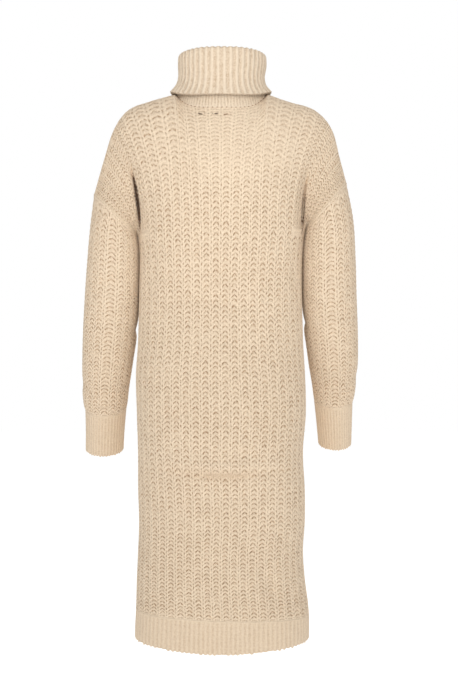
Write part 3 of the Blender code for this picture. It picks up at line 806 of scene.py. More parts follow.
@dataclass(frozen=True)
class Body:
    """The form of a front or back panel and of its hem rib."""

    face: Face
    knit: Knit = BODY_KNIT
    yoke_courses: int = YOKE_COURSES

    @property
    def joint(self) -> int:
        """The course at the armpits, where the yoke starts."""
        return self.knit.courses - self.yoke_courses

    def section(self, angle: Array, height: Array) -> Array:
        """Points on the body: half width times sine and depth times cosine, each to the power 2 / roundness.

        Args:
            angle: the way round, from a quarter turn left of the centre line to a quarter turn right of it.
            height: where the body is cut.

        Returns:
            One point for each angle and height.
        """
        sine, cosine = np.sin(angle), np.abs(np.cos(angle))
        left, right, depth = (
            looked_up(TORSO, name, "height", height) for name in ("left", "right", self.face.name.lower())
        )
        power = 2 / ROUNDNESS
        across = np.where(sine < 0, left, right) * signed_power(sine, power)
        return np.stack([across, self.face.value * depth * cosine**power, height + 0 * angle], axis=-1)

    def angles(self, shares: Array, heights: Array) -> Array:
        """Angles at the given shares of the way round, from the left seam to the right one.

        They are found on each section of the table by its length and read smoothly between sections. Below the
        seat the wales are drawn a little towards the centre line.

        Args:
            shares: places across the panel.
            heights: one for each row.

        Returns:
            Heights by shares.
        """
        turn = np.linspace(-math.pi / 2, math.pi / 2, CURVE_SAMPLES)
        knots = column(TORSO, "height")
        found = []
        for height in knots:
            length = travelled(self.section(turn, np.full_like(turn, height)))
            draw = HEM_DRAW * ramp(HEM_DRAW_TOP - height, -HEM_DRAW_TOP)
            drawn = shares + draw * np.sin(2 * math.pi * shares) / (2 * math.pi)
            found.append(np.interp(drawn * length[-1], length, turn))
        return through(knots, np.array(found), heights)

    def band(self, shares: Array, pace: Array, lines: tuple[Array, Array], levels: tuple[float, float]) -> Array:
        """Rows round the body, from one line to another above it.

        Args:
            shares: places across the panel.
            pace: how far up each row lies, from 0 to 1, as one column.
            lines: heights of the lower and the upper line at those places.
            levels: the levels at which the wales' angles on those lines are read.

        Returns:
            Rows by shares by 3.
        """
        level = levels[0] * (1 - pace[:, 0]) + levels[1] * pace[:, 0]
        surface = self.section(self.angles(shares, level), lines[0] * (1 - pace) + lines[1] * pace)
        surface[:, [0, -1], 1] = 0.0
        return surface

    def outwards(self, surface: Array, passes: int) -> Array:
        """Softened normals of the panel, pointing out of the dress."""
        return softened(normals_of(surface, closed=False) * -self.face.value, closed=False, passes=passes)

    def folded(self, points: Array) -> Array:
        """Presses that face's creases in.

        A crease follows the parabola past its three points. It takes depth times exp(-(distance / width)^2)
        away and lifts a soft roll two widths above it. It fades at both ends and beside the side seams.

        Args:
            points: rows by columns by 3.

        Returns:
            A changed copy of the points.
        """
        points = points.copy()
        from_seam = ramp(np.abs(points[..., 1]), FOLD_FADE)
        along = np.linspace(0, 1, FOLD_SAMPLES)
        for fold in FOLDS:
            if fold.face is not self.face:
                continue
            start, middle, end = (np.array(place) for place in (fold.start, fold.middle, fold.end))
            path = bent(start, 2 * middle - (start + end) / 2, end, along[:, None])
            across, up = end - start
            length = math.hypot(across, up)
            seen = points[..., (0, 2)]
            share = ((seen - start)[..., 0] * across + (seen - start)[..., 1] * up) / length**2
            apart = seen - read_chain(path, along, share)
            over = (apart[..., 1] * across - apart[..., 0] * up) / length
            ends = np.clip(FOLD_TAPER * (0.5 - np.abs(share - 0.5)), 0, 1) ** FOLD_TAPER_POWER
            press = crease_profile(over / fold.half_width, fold.lip) * ends * from_seam
            points[..., 1] -= self.face.value * fold.depth * press
        return points

    def wale_ends(self, hand: Hand, wales: Array) -> Array:
        """Where each wale ends: along the shoulder line as far as the neck point, then round the neckline.

        Args:
            hand: which half of the yoke.
            wales: their shares of the way from armhole to centre line.

        Returns:
            Wales by 3.
        """
        run = np.array([[hand.value * point.outwards, 0.0, point.height] for point in SHOULDER[hand]])
        knots = np.arange(len(run), dtype=float)
        line = through(knots, run, np.linspace(0, knots[-1], CURVE_SAMPLES))
        shoulder = spaced(line, looked_up(YOKE, "top", "share", wales))
        past_neck = ramp(wales - NECK_SHARE, 1 - NECK_SHARE)
        turn = np.arccos(1 - past_neck**NECK_PACE)
        across = hand.value * NECK_HALF_WIDTH * np.cos(turn)
        out = self.face.value * NECK_DEPTH[self.face] * np.sin(turn)
        height = NECK_POINT_HEIGHT - NECK_DROP[self.face] * fallen(np.sin(turn), self.face)
        return np.where((past_neck > 0)[:, None], np.stack([across, out, height], axis=1), shoulder)

    def yoke_half(self, hand: Hand, start: Array, wales: Array, inside: bool) -> Array:
        """One half of the yoke, where each wale runs from the armpit line to the shoulder line.

        Seen flat, a wale is a quadratic curve with one guide point. Its depth turns over at the shoulder along
        a squared quarter circle, bows out between its ends, and is cut back along the crease beside the arm.

        Args:
            hand: which half.
            start: the wales' first points, on the armpit line.
            wales: their shares of the way from armhole to centre line.
            inside: whether it is the wall's inner side, whose crease is wide and round.

        Returns:
            Rows by wales by 3, without the first row.
        """
        end = self.wale_ends(hand, wales)
        swell, power, upright = (
            looked_up(YOKE, name, "share", wales) for name in ("swell", "swell_power", "upright")
        )
        along = (1 - np.cos(np.linspace(0, math.pi, CURVE_SAMPLES)))[:, None] / 2
        middle = (start + end) / 2
        lifted = start + np.array([0, 0, 1]) * (end - start)[:, 2:] / 2
        guide = middle + upright[:, None] * (lifted - middle)
        across, height = (bent(start[:, axis], guide[:, axis], end[:, axis], along) for axis in (0, 2))
        start_depth, end_depth = self.face.value * start[:, 1], self.face.value * end[:, 1]
        cut = squared_off(np.clip(end_depth / np.maximum(start_depth, SEAM_GAP), 0, 1))
        depth = start_depth * squared_off(along * cut)
        depth = evened_out(depth + swell * (4 * along * (1 - along)) ** power, wales, along)
        depth = creased(hand, across, height, depth, inside)
        curves = np.stack([across, self.face.value * depth, height], axis=-1).transpose(1, 0, 2)
        return np.stack([spaced(curve, self.yoke_rows(curve)) for curve in curves], axis=1)

    def yoke_rows(self, curve: Array) -> Array:
        """Where a wale's rows lie in the yoke: at the usual pitch below, closer or wider towards its end.

        Args:
            curve: points along the wale.

        Returns:
            Shares of its length, without the first row's.
        """
        count = self.yoke_courses * BASE_ROWS_PER_COURSE
        rows = np.arange(1, count + 1) / count
        pace = np.clip(YOKE_PITCH * self.yoke_courses / travelled(curve)[-1], *YOKE_PACES)
        return pace * rows + (1 - pace) * rows**YOKE_PACE_POWER

    def pacing(self) -> Array:
        """Where the rows lie below the armpits, by the table of pitches.

        Returns:
            Shares of the height from hem seam to armpits.
        """
        low, high = HEM_SEAM[1], ARMPIT_LEVEL
        heights = np.linspace(low, high, CURVE_SAMPLES)
        counted = np.concatenate([[0.0], np.cumsum(1 / looked_up(PITCH, "pitch", "height", heights))[:-1]])
        rows = np.linspace(0, 1, self.joint * BASE_ROWS_PER_COURSE + 1)
        return np.interp(rows, counted / counted[-1], (heights - low) / (high - low))

    def panel(self, columns: Columns, inside: bool = False) -> Form:
        """The whole panel, from the hem rib's seam to the shoulders and neckline.

        Args:
            columns: the wales it is read on.
            inside: whether it is the wall's inner side.

        Returns:
            Its form.
        """
        shares = columns.share
        bottom = across_hem(HEM_SEAM, shares) + SEAM_GAP / 2
        top = ARMPIT_LEFT[1] * (1 - shares) + ARMPIT_RIGHT[1] * shares
        lower = self.band(shares, self.pacing()[:, None], (bottom, top), (HEM_SEAM[1], ARMPIT_LEVEL))
        start = lower[-1].copy()
        start[0, 0], start[-1, 0] = -ARMPIT_LEFT[0], ARMPIT_RIGHT[0]
        middle = len(shares) // 2
        wales = np.minimum(shares, 1 - shares) * 2
        left = self.yoke_half(Hand.LEFT, start[: middle + 1], wales[: middle + 1], inside)
        right = self.yoke_half(Hand.RIGHT, start[middle:], wales[middle:], inside)
        surface = self.folded(np.concatenate([lower, np.concatenate([left, right[:, 1:]], axis=1)]))
        normal = unit(self.outwards(surface, passes=2))
        self.square_edges(surface, normal, len(lower))
        return Form(surface, normal, self.calmed(surface, len(lower)), crease_shade(surface))

    def square_edges(self, surface: Array, normal: Array, lower: int) -> None:
        """Turns the normals of a panel's edges square to their seams and leaves half a seam gap.

        Args:
            surface: its points, changed in place.
            normal: its normals, changed in place.
            lower: how many rows lie below the yoke.
        """
        front = self.face.value
        shoulder = surface[-1, :, 1] * front < SEAM_GAP
        normal[0] = flattened(normal[0], (0, 0, 1))
        normal[-1, shoulder] = flattened(normal[-1, shoulder], (0, 1, 0))
        for edge, hand in ((0, Hand.LEFT), (-1, Hand.RIGHT)):
            square = towards_shoulder(hand)
            normal[:lower, edge] = (hand.value, 0, 0)
            lean = np.clip(normal[lower:, edge] @ square, 0, None)
            normal[lower:, edge] = unit(normal[lower:, edge] - lean[:, None] * square)
            surface[lower:, edge] += square * SEAM_GAP / 2
        surface[:, [0, -1], 1] += front * SEAM_GAP / 2
        surface[-1, shoulder, 1] = front * SEAM_GAP / 2

    def calmed(self, surface: Array, lower: int) -> Array:
        """How far the stitches stand out: flat in the first and last courses and beside the seams.

        Args:
            surface: the panel's points.
            lower: how many rows lie below the yoke.

        Returns:
            Rows by columns, from 0 to 1.
        """
        rows = np.arange(len(surface))[:, None]
        courses = rows / BASE_ROWS_PER_COURSE
        ends = ramp(courses, ROW_FADE) * ramp(courses[-1] - courses, ROW_FADE)
        sides = np.minimum(*(np.linalg.norm(surface - surface[:, [edge]], axis=-1) for edge in (0, -1)))
        in_yoke = ramp(rows - lower + ARMHOLE_ROWS[0], ARMHOLE_ROWS[1])
        armhole, side_seam = ramp(sides - ARMHOLE_FLAT, ARMHOLE_FADE), ramp(sides + SEAM_FADE / 3, SEAM_FADE)
        return ends * (in_yoke * armhole + (1 - in_yoke) * side_seam)

    def hem(self, knit: Knit) -> Form:
        """The band of fine rib below the panel, with a scalloped lower edge.

        Args:
            knit: its stitches.

        Returns:
            Its form.
        """
        shares = knit.columns().share
        count = knit.courses * BASE_ROWS_PER_COURSE
        rows = np.arange(count + 1)[:, None] / count
        bottom = across_hem(HEM_EDGE, shares) + scallops(knit) * HEM_SCALLOP
        top = across_hem(HEM_SEAM, shares) - SEAM_GAP / 2
        surface = self.folded(self.band(shares, rows, (bottom, top), (HEM_EDGE[1], HEM_SEAM[1])))
        normal = flattened(self.outwards(surface, passes=1), (0, 0, 1))
        normal[:, 0], normal[:, -1] = (-1, 0, 0), (1, 0, 0)
        surface[:, [0, -1], 1] += self.face.value * SEAM_GAP / 2
        return uncreased(surface, normal, ramp(knit.courses - rows * knit.courses, RIB_FADE))


def fallen(sine: Array, face: Face) -> Array:
    """How far a ring round the neck has fallen, by the sine of the way round: later in front than at the back."""
    return sine**2 if face is Face.FRONT else sine**2 * (3 - 2 * sine)


def evened_out(values: Array, wales: Array, along: Array) -> Array:
    """Values of each wale, averaged with its neighbours' beside the neck point and away from the wales' ends.

    The average's weights are exp(-(distance / blend)^2) times the room that each wale takes up.

    Args:
        values: places along the wales by wales.
        wales: their shares of the way from armhole to centre line.
        along: places along the wales, as one column.

    Returns:
        Places along the wales by wales.
    """
    near = np.exp(-(((wales[:, None] - wales) / NECK_BLEND) ** 2)) * np.abs(np.gradient(wales))
    average = values @ (near / near.sum(axis=1, keepdims=True)).T
    beside = np.exp(-(((wales - NECK_SHARE) / (2 * NECK_BLEND)) ** 2))
    return values + (average - values) * beside * np.sqrt(4 * along * (1 - along))


def squared_off(share: Array) -> Array:
    """Falls from 1 at 0 to 0 at 1 along a squared quarter circle."""
    return np.clip(1 - share**SHOULDER_TURN, 0, 1) ** (1 / SHOULDER_TURN)


def beside_crease(hand: Hand, across: Array, height: Array, body_side: float) -> tuple[Array, ...]:
    """How the crease beside an arm lies to each point.

    Args:
        hand: whose arm it is.
        across, height: where the points are.
        body_side: how far the trough opens towards the body.

    Returns:
        The shares of the depth that trough and slit take at that height, and the distances from the middle of
        the crease, in half widths of the trough and of the slit.
    """
    outwards, trough, slit = (
        looked_up(ARM_CREASE[hand], name, "height", height) for name in ("outwards", "trough", "slit")
    )
    away = hand.value * across - outwards
    wide = away / np.where(away > 0, TROUGH_ARM_SIDE, body_side)
    return trough, slit, wide, away / (SLIT_LEAST + SLIT_GAIN * slit)


def creased(hand: Hand, across: Array, height: Array, depth: Array, inside: bool) -> Array:
    """Depths cut back along the crease beside the arm.

    Outside, the crease is a shallow trough with a deep slit along its middle. Inside it is one round trough that
    reaches past the slit, so that the wall never closes on itself.

    Args:
        hand: whose arm it is.
        across, height, depth: where the points are.
        inside: whether they lie on the wall's inner side.

    Returns:
        The new depths.
    """
    trough, slit, wide, narrow = beside_crease(hand, across, height, TROUGH_BODY_SIDE)
    if inside:
        cut = INSIDE_CREASE * slit * bell(wide, INSIDE_POWER)
    else:
        cut = trough * bell(wide, TROUGH_POWER) + slit * bell(narrow, SLIT_POWER)
    return depth * (1 - cut * ramp(depth, ARM_HALF_DEPTH))


def crease_shade(surface: Array) -> Array:
    """How deep in the creases beside the arms each point lies: the mask of the painted shade there.

    It is the greater of two bells across the crease: that of the slit, full where the slit takes half of the
    depth or more, and that of the trough, half as wide towards the body, times its share and its shade.

    Args:
        surface: rows by columns by 3.

    Returns:
        Rows by columns, 0 on open cloth and 1 in the depths.
    """
    shade = np.zeros(surface.shape[:2])
    for hand in Hand:
        trough, slit, wide, narrow = beside_crease(hand, surface[..., 0], surface[..., 2], TROUGH_BODY_SIDE / 2)
        shade = np.maximum(shade, ramp(slit, FULL_SLIT) * bell(narrow, SLIT_POWER))
        shade = np.maximum(shade, TROUGH_SHADE * trough * bell(wide, TROUGH_POWER))
    return shade


def towards_shoulder(hand: Hand) -> Array:
    """The direction square to an armhole, pointing up and inwards."""
    ring = SLEEVE[hand][0]
    return unit(np.array([-hand.value * (ring.outer_height - ring.inner_height), 0, ring.outer - ring.inner]))


def scallops(knit: Knit) -> Array:
    """A free edge's small waves: each wale hangs down by |sin| of its half turn, some more than others."""
    number = knit.columns().number
    lengths = np.random.default_rng(knit.seed + SCALLOP_SEED).uniform(*SCALLOP_RANGE, knit.wales + 1)
    return -np.abs(np.sin(math.pi * number)) * lengths[np.minimum(number, knit.wales).astype(int)]


@dataclass(frozen=True)
class Arm:
    """The form of one sleeve and its cuff."""

    hand: Hand

    def rings(self, table: Sequence[ArmSection], shares: Array, rows: Array) -> Array:
        """Rings round the arm, from the underarm by the back to the outer side and by the front.

        Each lies between its inner and outer ends and leans forward with the arm. A sleeve's are ellipses at its
        seams and squarer between them, where the sine and cosine are taken to the power 2 / roundness.

        Args:
            table: the sleeve's or the cuff's sections.
            shares: places round the arm, in turns.
            rows: places along the table, from 0 to 1.

        Returns:
            Rows by shares by 3.
        """
        ring = read_table(table, np.linspace(0, 1, len(table)), rows)
        angle = 2 * math.pi * shares
        squarer = ramp(np.minimum(rows, 1 - rows), SEAM_RINGS)[:, None] * (table is SLEEVE[self.hand])
        power = 1 + squarer * (2 / ARM_ROUNDNESS - 1)
        half_turn = -signed_power(np.cos(angle), power) / 2
        across = (ring.inner + ring.outer) / 2 + (ring.outer - ring.inner) * half_turn
        height = (ring.inner_height + ring.outer_height) / 2
        height = height + (ring.outer_height - ring.inner_height) * half_turn
        lean = np.radians(ring.lean)
        out = ring.half_depth * signed_power(np.sin(angle), power)
        parts = (self.hand.value * across, ring.forward - out * np.cos(lean), height - out * np.sin(lean))
        return np.stack(parts, axis=-1)

    def even_rows(self, table: Sequence[ArmSection], courses: int) -> Array:
        """Places along the table at which rings are evenly spaced along the arm's middle line.

        Args:
            table: the sleeve's or the cuff's sections.
            courses: rows of stitches along it.

        Returns:
            One place for each base row.
        """
        rows = np.linspace(0, 1, CURVE_SAMPLES)
        length = travelled(self.rings(table, np.linspace(0, 1, RING_SAMPLES, endpoint=False), rows).mean(axis=1))
        return np.interp(np.linspace(0, length[-1], courses * BASE_ROWS_PER_COURSE + 1), length, rows)

    def down(self, table: Sequence[ArmSection]) -> Array:
        """The direction along the forearm at the end of a sleeve or cuff."""
        lean = math.radians(table[-1].lean)
        return np.array([0, math.sin(lean), -math.cos(lean)])

    def form(self, table: Sequence[ArmSection], knit: Knit, top_axis: Array, free_edge: bool) -> Form:
        """A sleeve or cuff, its ends square to the arm and half a seam gap short of their neighbours.

        Args:
            table: its sections.
            knit: its stitches.
            top_axis: the direction into the piece at its first ring.
            free_edge: whether it ends in a scalloped edge, as a cuff does, and not in a seam.

        Returns:
            Its form.
        """
        shares = knit.columns().share
        rows = self.even_rows(table, knit.courses)
        surface = self.rings(table, shares, rows)
        along = np.linspace(0, 1, len(rows))[:, None]
        end_axis = self.down(table)
        if free_edge:
            hanging = scallops(knit) * along**CUFF_SCALLOP_POWER
            surface = surface - (end_axis * CUFF_SCALLOP) * hanging[..., None]
        normal = normals_of(surface, closed=True) * -self.hand.value
        if not free_edge:
            surface = self.folded(surface, normal, shares, along)
            normal = normals_of(surface, closed=True) * -self.hand.value
        normal = unit(softened(normal, closed=True, passes=1))
        normal[0], normal[-1] = flattened(normal[0], top_axis), flattened(normal[-1], end_axis)
        surface[0] += top_axis * SEAM_GAP / 2
        surface[-1] -= end_axis * SEAM_GAP / 2
        courses = along * knit.courses
        calm = ramp(courses, SLEEVE_HEAD_FADE)
        if not free_edge:
            underarm = np.linalg.norm(surface - surface[:, :1], axis=-1)
            calm = calm * ramp(knit.courses - courses, ROW_FADE) * ramp(underarm, SEAM_FADE)
        return uncreased(surface, normal, calm)

    def folded(self, surface: Array, normal: Array, shares: Array, along: Array) -> Array:
        """Presses the soft creases of a sleeve in along its normals; they fade as exp(-(turn / half turn)^4).

        Args:
            surface, normal: the sleeve's points and normals.
            shares: places round the arm, in turns.
            along: places along it, from 0 to 1, as one column.

        Returns:
            The changed points.
        """
        ends = ramp(np.minimum(along, 1 - along), ARM_FOLD_ENDS)
        for fold in ARM_FOLDS:
            turn = (shares[None, :] - fold.around + 0.5) % 1 - 0.5
            over = (along - fold.along - fold.slope * turn) / fold.half_width
            press = crease_profile(over, ARM_FOLD_LIP) * bell(turn / fold.half_turn, 4) * ends
            surface = surface - normal * (fold.depth * press)[..., None]
        return surface

    def sleeve(self) -> Form:
        """The sleeve, from the armhole to the cuff's seam."""
        return self.form(SLEEVE[self.hand], SLEEVE_KNIT, -towards_shoulder(self.hand), free_edge=False)

    def cuff(self) -> Form:
        """The cuff, from its seam to its free edge."""
        return self.form(CUFF[self.hand], CUFF_KNIT, self.down(SLEEVE[self.hand]), free_edge=True)


@dataclass(frozen=True)
class Collar:
    """The form of the roll neck, one band that stands up, folds over and hangs down outside itself."""

    def rings(self, shares: Array, rows: Array) -> Array:
        """Rings round the neck, from the left side by the front: half ellipses that fall towards back and front.

        Args:
            shares: places round the neck, in turns.
            rows: places along the table of rings.

        Returns:
            Rows by shares by 3.
        """
        ring = read_table(COLLAR, np.arange(len(COLLAR), dtype=float), rows)
        sine, cosine = np.sin(2 * math.pi * shares), np.cos(2 * math.pi * shares)
        depth = np.where(sine > 0, ring.front, ring.back)
        end = np.where(sine > 0, ring.front_height, ring.back_height)
        width = np.where(cosine > 0, ring.left, ring.right)
        share = np.where(sine > 0, fallen(sine, Face.FRONT), fallen(-sine, Face.BACK))
        height = ring.side_height + (end - ring.side_height) * share
        return np.stack([-width * cosine, depth * sine, height], axis=-1)

    def form(self, knit: Knit) -> Form:
        """The face that looks outwards on the standing layer, with normals that point to the other face.

        Args:
            knit: the stitches on whose columns it is read.

        Returns:
            Its form, with rows evenly spaced along the band.
        """
        shares = knit.columns().share
        fine = np.linspace(0, len(COLLAR) - 1, CURVE_SAMPLES)
        rows = knit.courses * BASE_ROWS_PER_COURSE + 1
        steps = np.linalg.norm(np.diff(self.rings(shares, fine), axis=0), axis=-1).mean(axis=1)
        length = np.concatenate([[0.0], np.cumsum(steps)])
        surface = self.rings(shares, np.interp(np.linspace(0, length[-1], rows), length, fine))
        normal = normals_of(surface, closed=True)
        normal[0] = flattened(normal[0], (0, 0, 1))
        return uncreased(surface, normal, ramp(np.arange(rows)[:, None] / BASE_ROWS_PER_COURSE, RIB_FADE))


# ---- Meshes ----


@dataclass
class FaceList:
    """The faces of a mesh, as corner numbers into a table of corners."""

    groups: list[Array] = field(default_factory=list)

    def add(self, corners: Array) -> None:
        """Adds faces that all have the same number of corners, given along the last axis."""
        self.groups.append(corners.reshape(-1, corners.shape[-1]))

    def add_grid(self, corners: Array) -> None:
        """Adds a quad for each cell of a grid, turned from columns to rows."""
        self.add(np.stack([corners[:-1, :-1], corners[:-1, 1:], corners[1:, 1:], corners[1:, :-1]], axis=-1))

    def add_strip(self, near: Array, far: Array, steps: Array, turned: bool = False) -> None:
        """Adds the faces between a line of corners and a finer line beside it.

        Args:
            near: the coarse line.
            far: the fine line.
            steps: how many steps of the fine line lie beside each step of the coarse one.
            turned: whether the faces point the other way.
        """
        firsts = np.concatenate([[0], np.cumsum(steps)])
        for count in np.unique(steps):
            which = np.flatnonzero(steps == count)
            fine = far[firsts[which][:, None] + np.arange(count + 1)]
            ring = np.concatenate([near[which][:, None], near[which + 1][:, None], fine[:, ::-1]], axis=1)
            self.add(ring[:, ::-1] if turned else ring)

    def loops(self) -> Array:
        """All corners, one face after the other."""
        return np.concatenate([group.ravel() for group in self.groups])

    def starts(self) -> Array:
        """Where each face's corners start."""
        sizes = np.concatenate([np.full(len(group), group.shape[1]) for group in self.groups])
        return np.concatenate([[0], np.cumsum(sizes)[:-1]])


class Patch(NamedTuple):
    """A grid of points of a piece of cloth, with its weave coordinates and the marks that place its painted shade.
    """

    points: Array  # rows by columns by 3
    wales: Array  # the weave coordinate of each column; one more than the columns on a closed patch
    courses: Array  # the weave coordinate of each row
    crease: Array  # mask of the painted crease shade: how deep in a crease each point is, from 0 to 1
    stitch: Array  # strength of the stitches' painted shade and relief, from 0 on plain cloth to 1 and a little more
    inside: Array  # 1 on the inner face of the cloth, else 0


@dataclass
class ClothMesh:
    """A closed shell of cloth under construction: its patches and the faces between their corners."""

    name: str
    closed: bool
    patches: list[Patch] = field(default_factory=list)
    faces: FaceList = field(default_factory=FaceList)

    def corners(self, patch: Patch) -> Array:
        """Adds a patch and numbers its corners.

        Args:
            patch: the new patch.

        Returns:
            Its corners' numbers, rows by columns; a closed patch has its first column again at the end.
        """
        wide = int(self.closed)
        first = sum(len(done.points) * (done.points.shape[1] + wide) for done in self.patches)
        self.patches.append(patch)
        shape = (patch.points.shape[0], patch.points.shape[1] + wide)
        return first + np.arange(shape[0] * shape[1]).reshape(shape)

    def build(self) -> Piece:
        """Makes the object, with its marks, which place its painted shade.

        Returns:
            The object, its faces pointing outwards.
        """
        places, owners, weave = [], [], []
        count = 0
        for patch in self.patches:
            owner = count + np.arange(patch.inside.size).reshape(patch.inside.shape)
            count += patch.inside.size
            if self.closed:
                owner = np.concatenate([owner, owner[:, :1]], axis=1)
            places.append(patch.points.reshape(-1, 3))
            owners.append(owner.ravel())
            weave.append(np.stack(np.meshgrid(patch.wales, patch.courses), axis=-1).reshape(-1, 2))
        corners = self.faces.loops()
        point_of, weave_of = np.concatenate(owners)[corners], np.concatenate(weave)[corners]
        piece = make_piece(self.name, np.concatenate(places), point_of, self.faces.starts(), weave_of)
        # masks of the painted crease shadow, of the stitches' painted shade and relief, and of the inner face with
        # its painted shade
        for mark in ("crease", "stitch", "inside"):
            values = np.concatenate([getattr(patch, mark).ravel() for patch in self.patches])
            layer = piece.data.attributes.new(name=mark, type="FLOAT", domain="POINT")
            layer.data.foreach_set("value", values.astype(np.float32))
        return piece


def make_piece(name: str, places: Array, corners: Array, starts: Array, weave: Array) -> Piece:
    """Makes an object at the origin from points and faces, turned outwards by the sign of its volume.

    Args:
        name: the object's name.
        places: the points.
        corners: point numbers, one face after the other.
        starts: where each face's corners start.
        weave: the weave coordinates of each corner.

    Returns:
        The object, linked to the scene and shaded smooth.
    """
    sizes = np.diff(np.append(starts, len(corners)))
    if signed_volume(places, corners, starts, sizes) < 0:
        order = np.repeat(2 * starts + sizes - 1, sizes) - np.arange(len(corners))
        corners, weave = corners[order], weave[order]
    mesh = bpy.data.meshes.new(name)
    mesh.vertices.add(len(places))
    mesh.vertices.foreach_set("co", places.astype(np.float32).ravel())
    mesh.loops.add(len(corners))
    mesh.loops.foreach_set("vertex_index", corners.astype(np.int32))
    mesh.polygons.add(len(starts))
    mesh.polygons.foreach_set("loop_start", starts.astype(np.int32))
    mesh.update(calc_edges=True)
    layer = mesh.uv_layers.new(name="weave")
    layer.uv.foreach_set("vector", weave.astype(np.float32).ravel())
    mesh.validate()
    mesh.shade_smooth()
    mesh.set_sharp_from_angle(angle=SHARP_EDGE)
    return placed(name, mesh)


def placed(name: str, data: bpy.types.ID) -> Piece:
    """A new object for a mesh, lamp or camera, linked to the scene."""
    piece = bpy.data.objects.new(name, data)
    bpy.context.scene.collection.objects.link(piece)
    return piece


def signed_volume(places: Array, corners: Array, starts: Array, sizes: Array) -> float:
    """Volume inside the faces: a sixth of the sum of the triple products over each face's fan.

    Args:
        places: the points.
        corners: point numbers, one face after the other.
        starts: where each face's corners start.
        sizes: how many corners each face has.

    Returns:
        Cubic metres, negative if the faces point inwards.
    """
    first = np.repeat(corners[starts], sizes)
    following = np.append(corners[1:], corners[0])
    following[starts + sizes - 1] = corners[starts]
    return float(np.einsum("ij,ij->i", places[first], np.cross(places[corners], places[following])).sum() / 6)


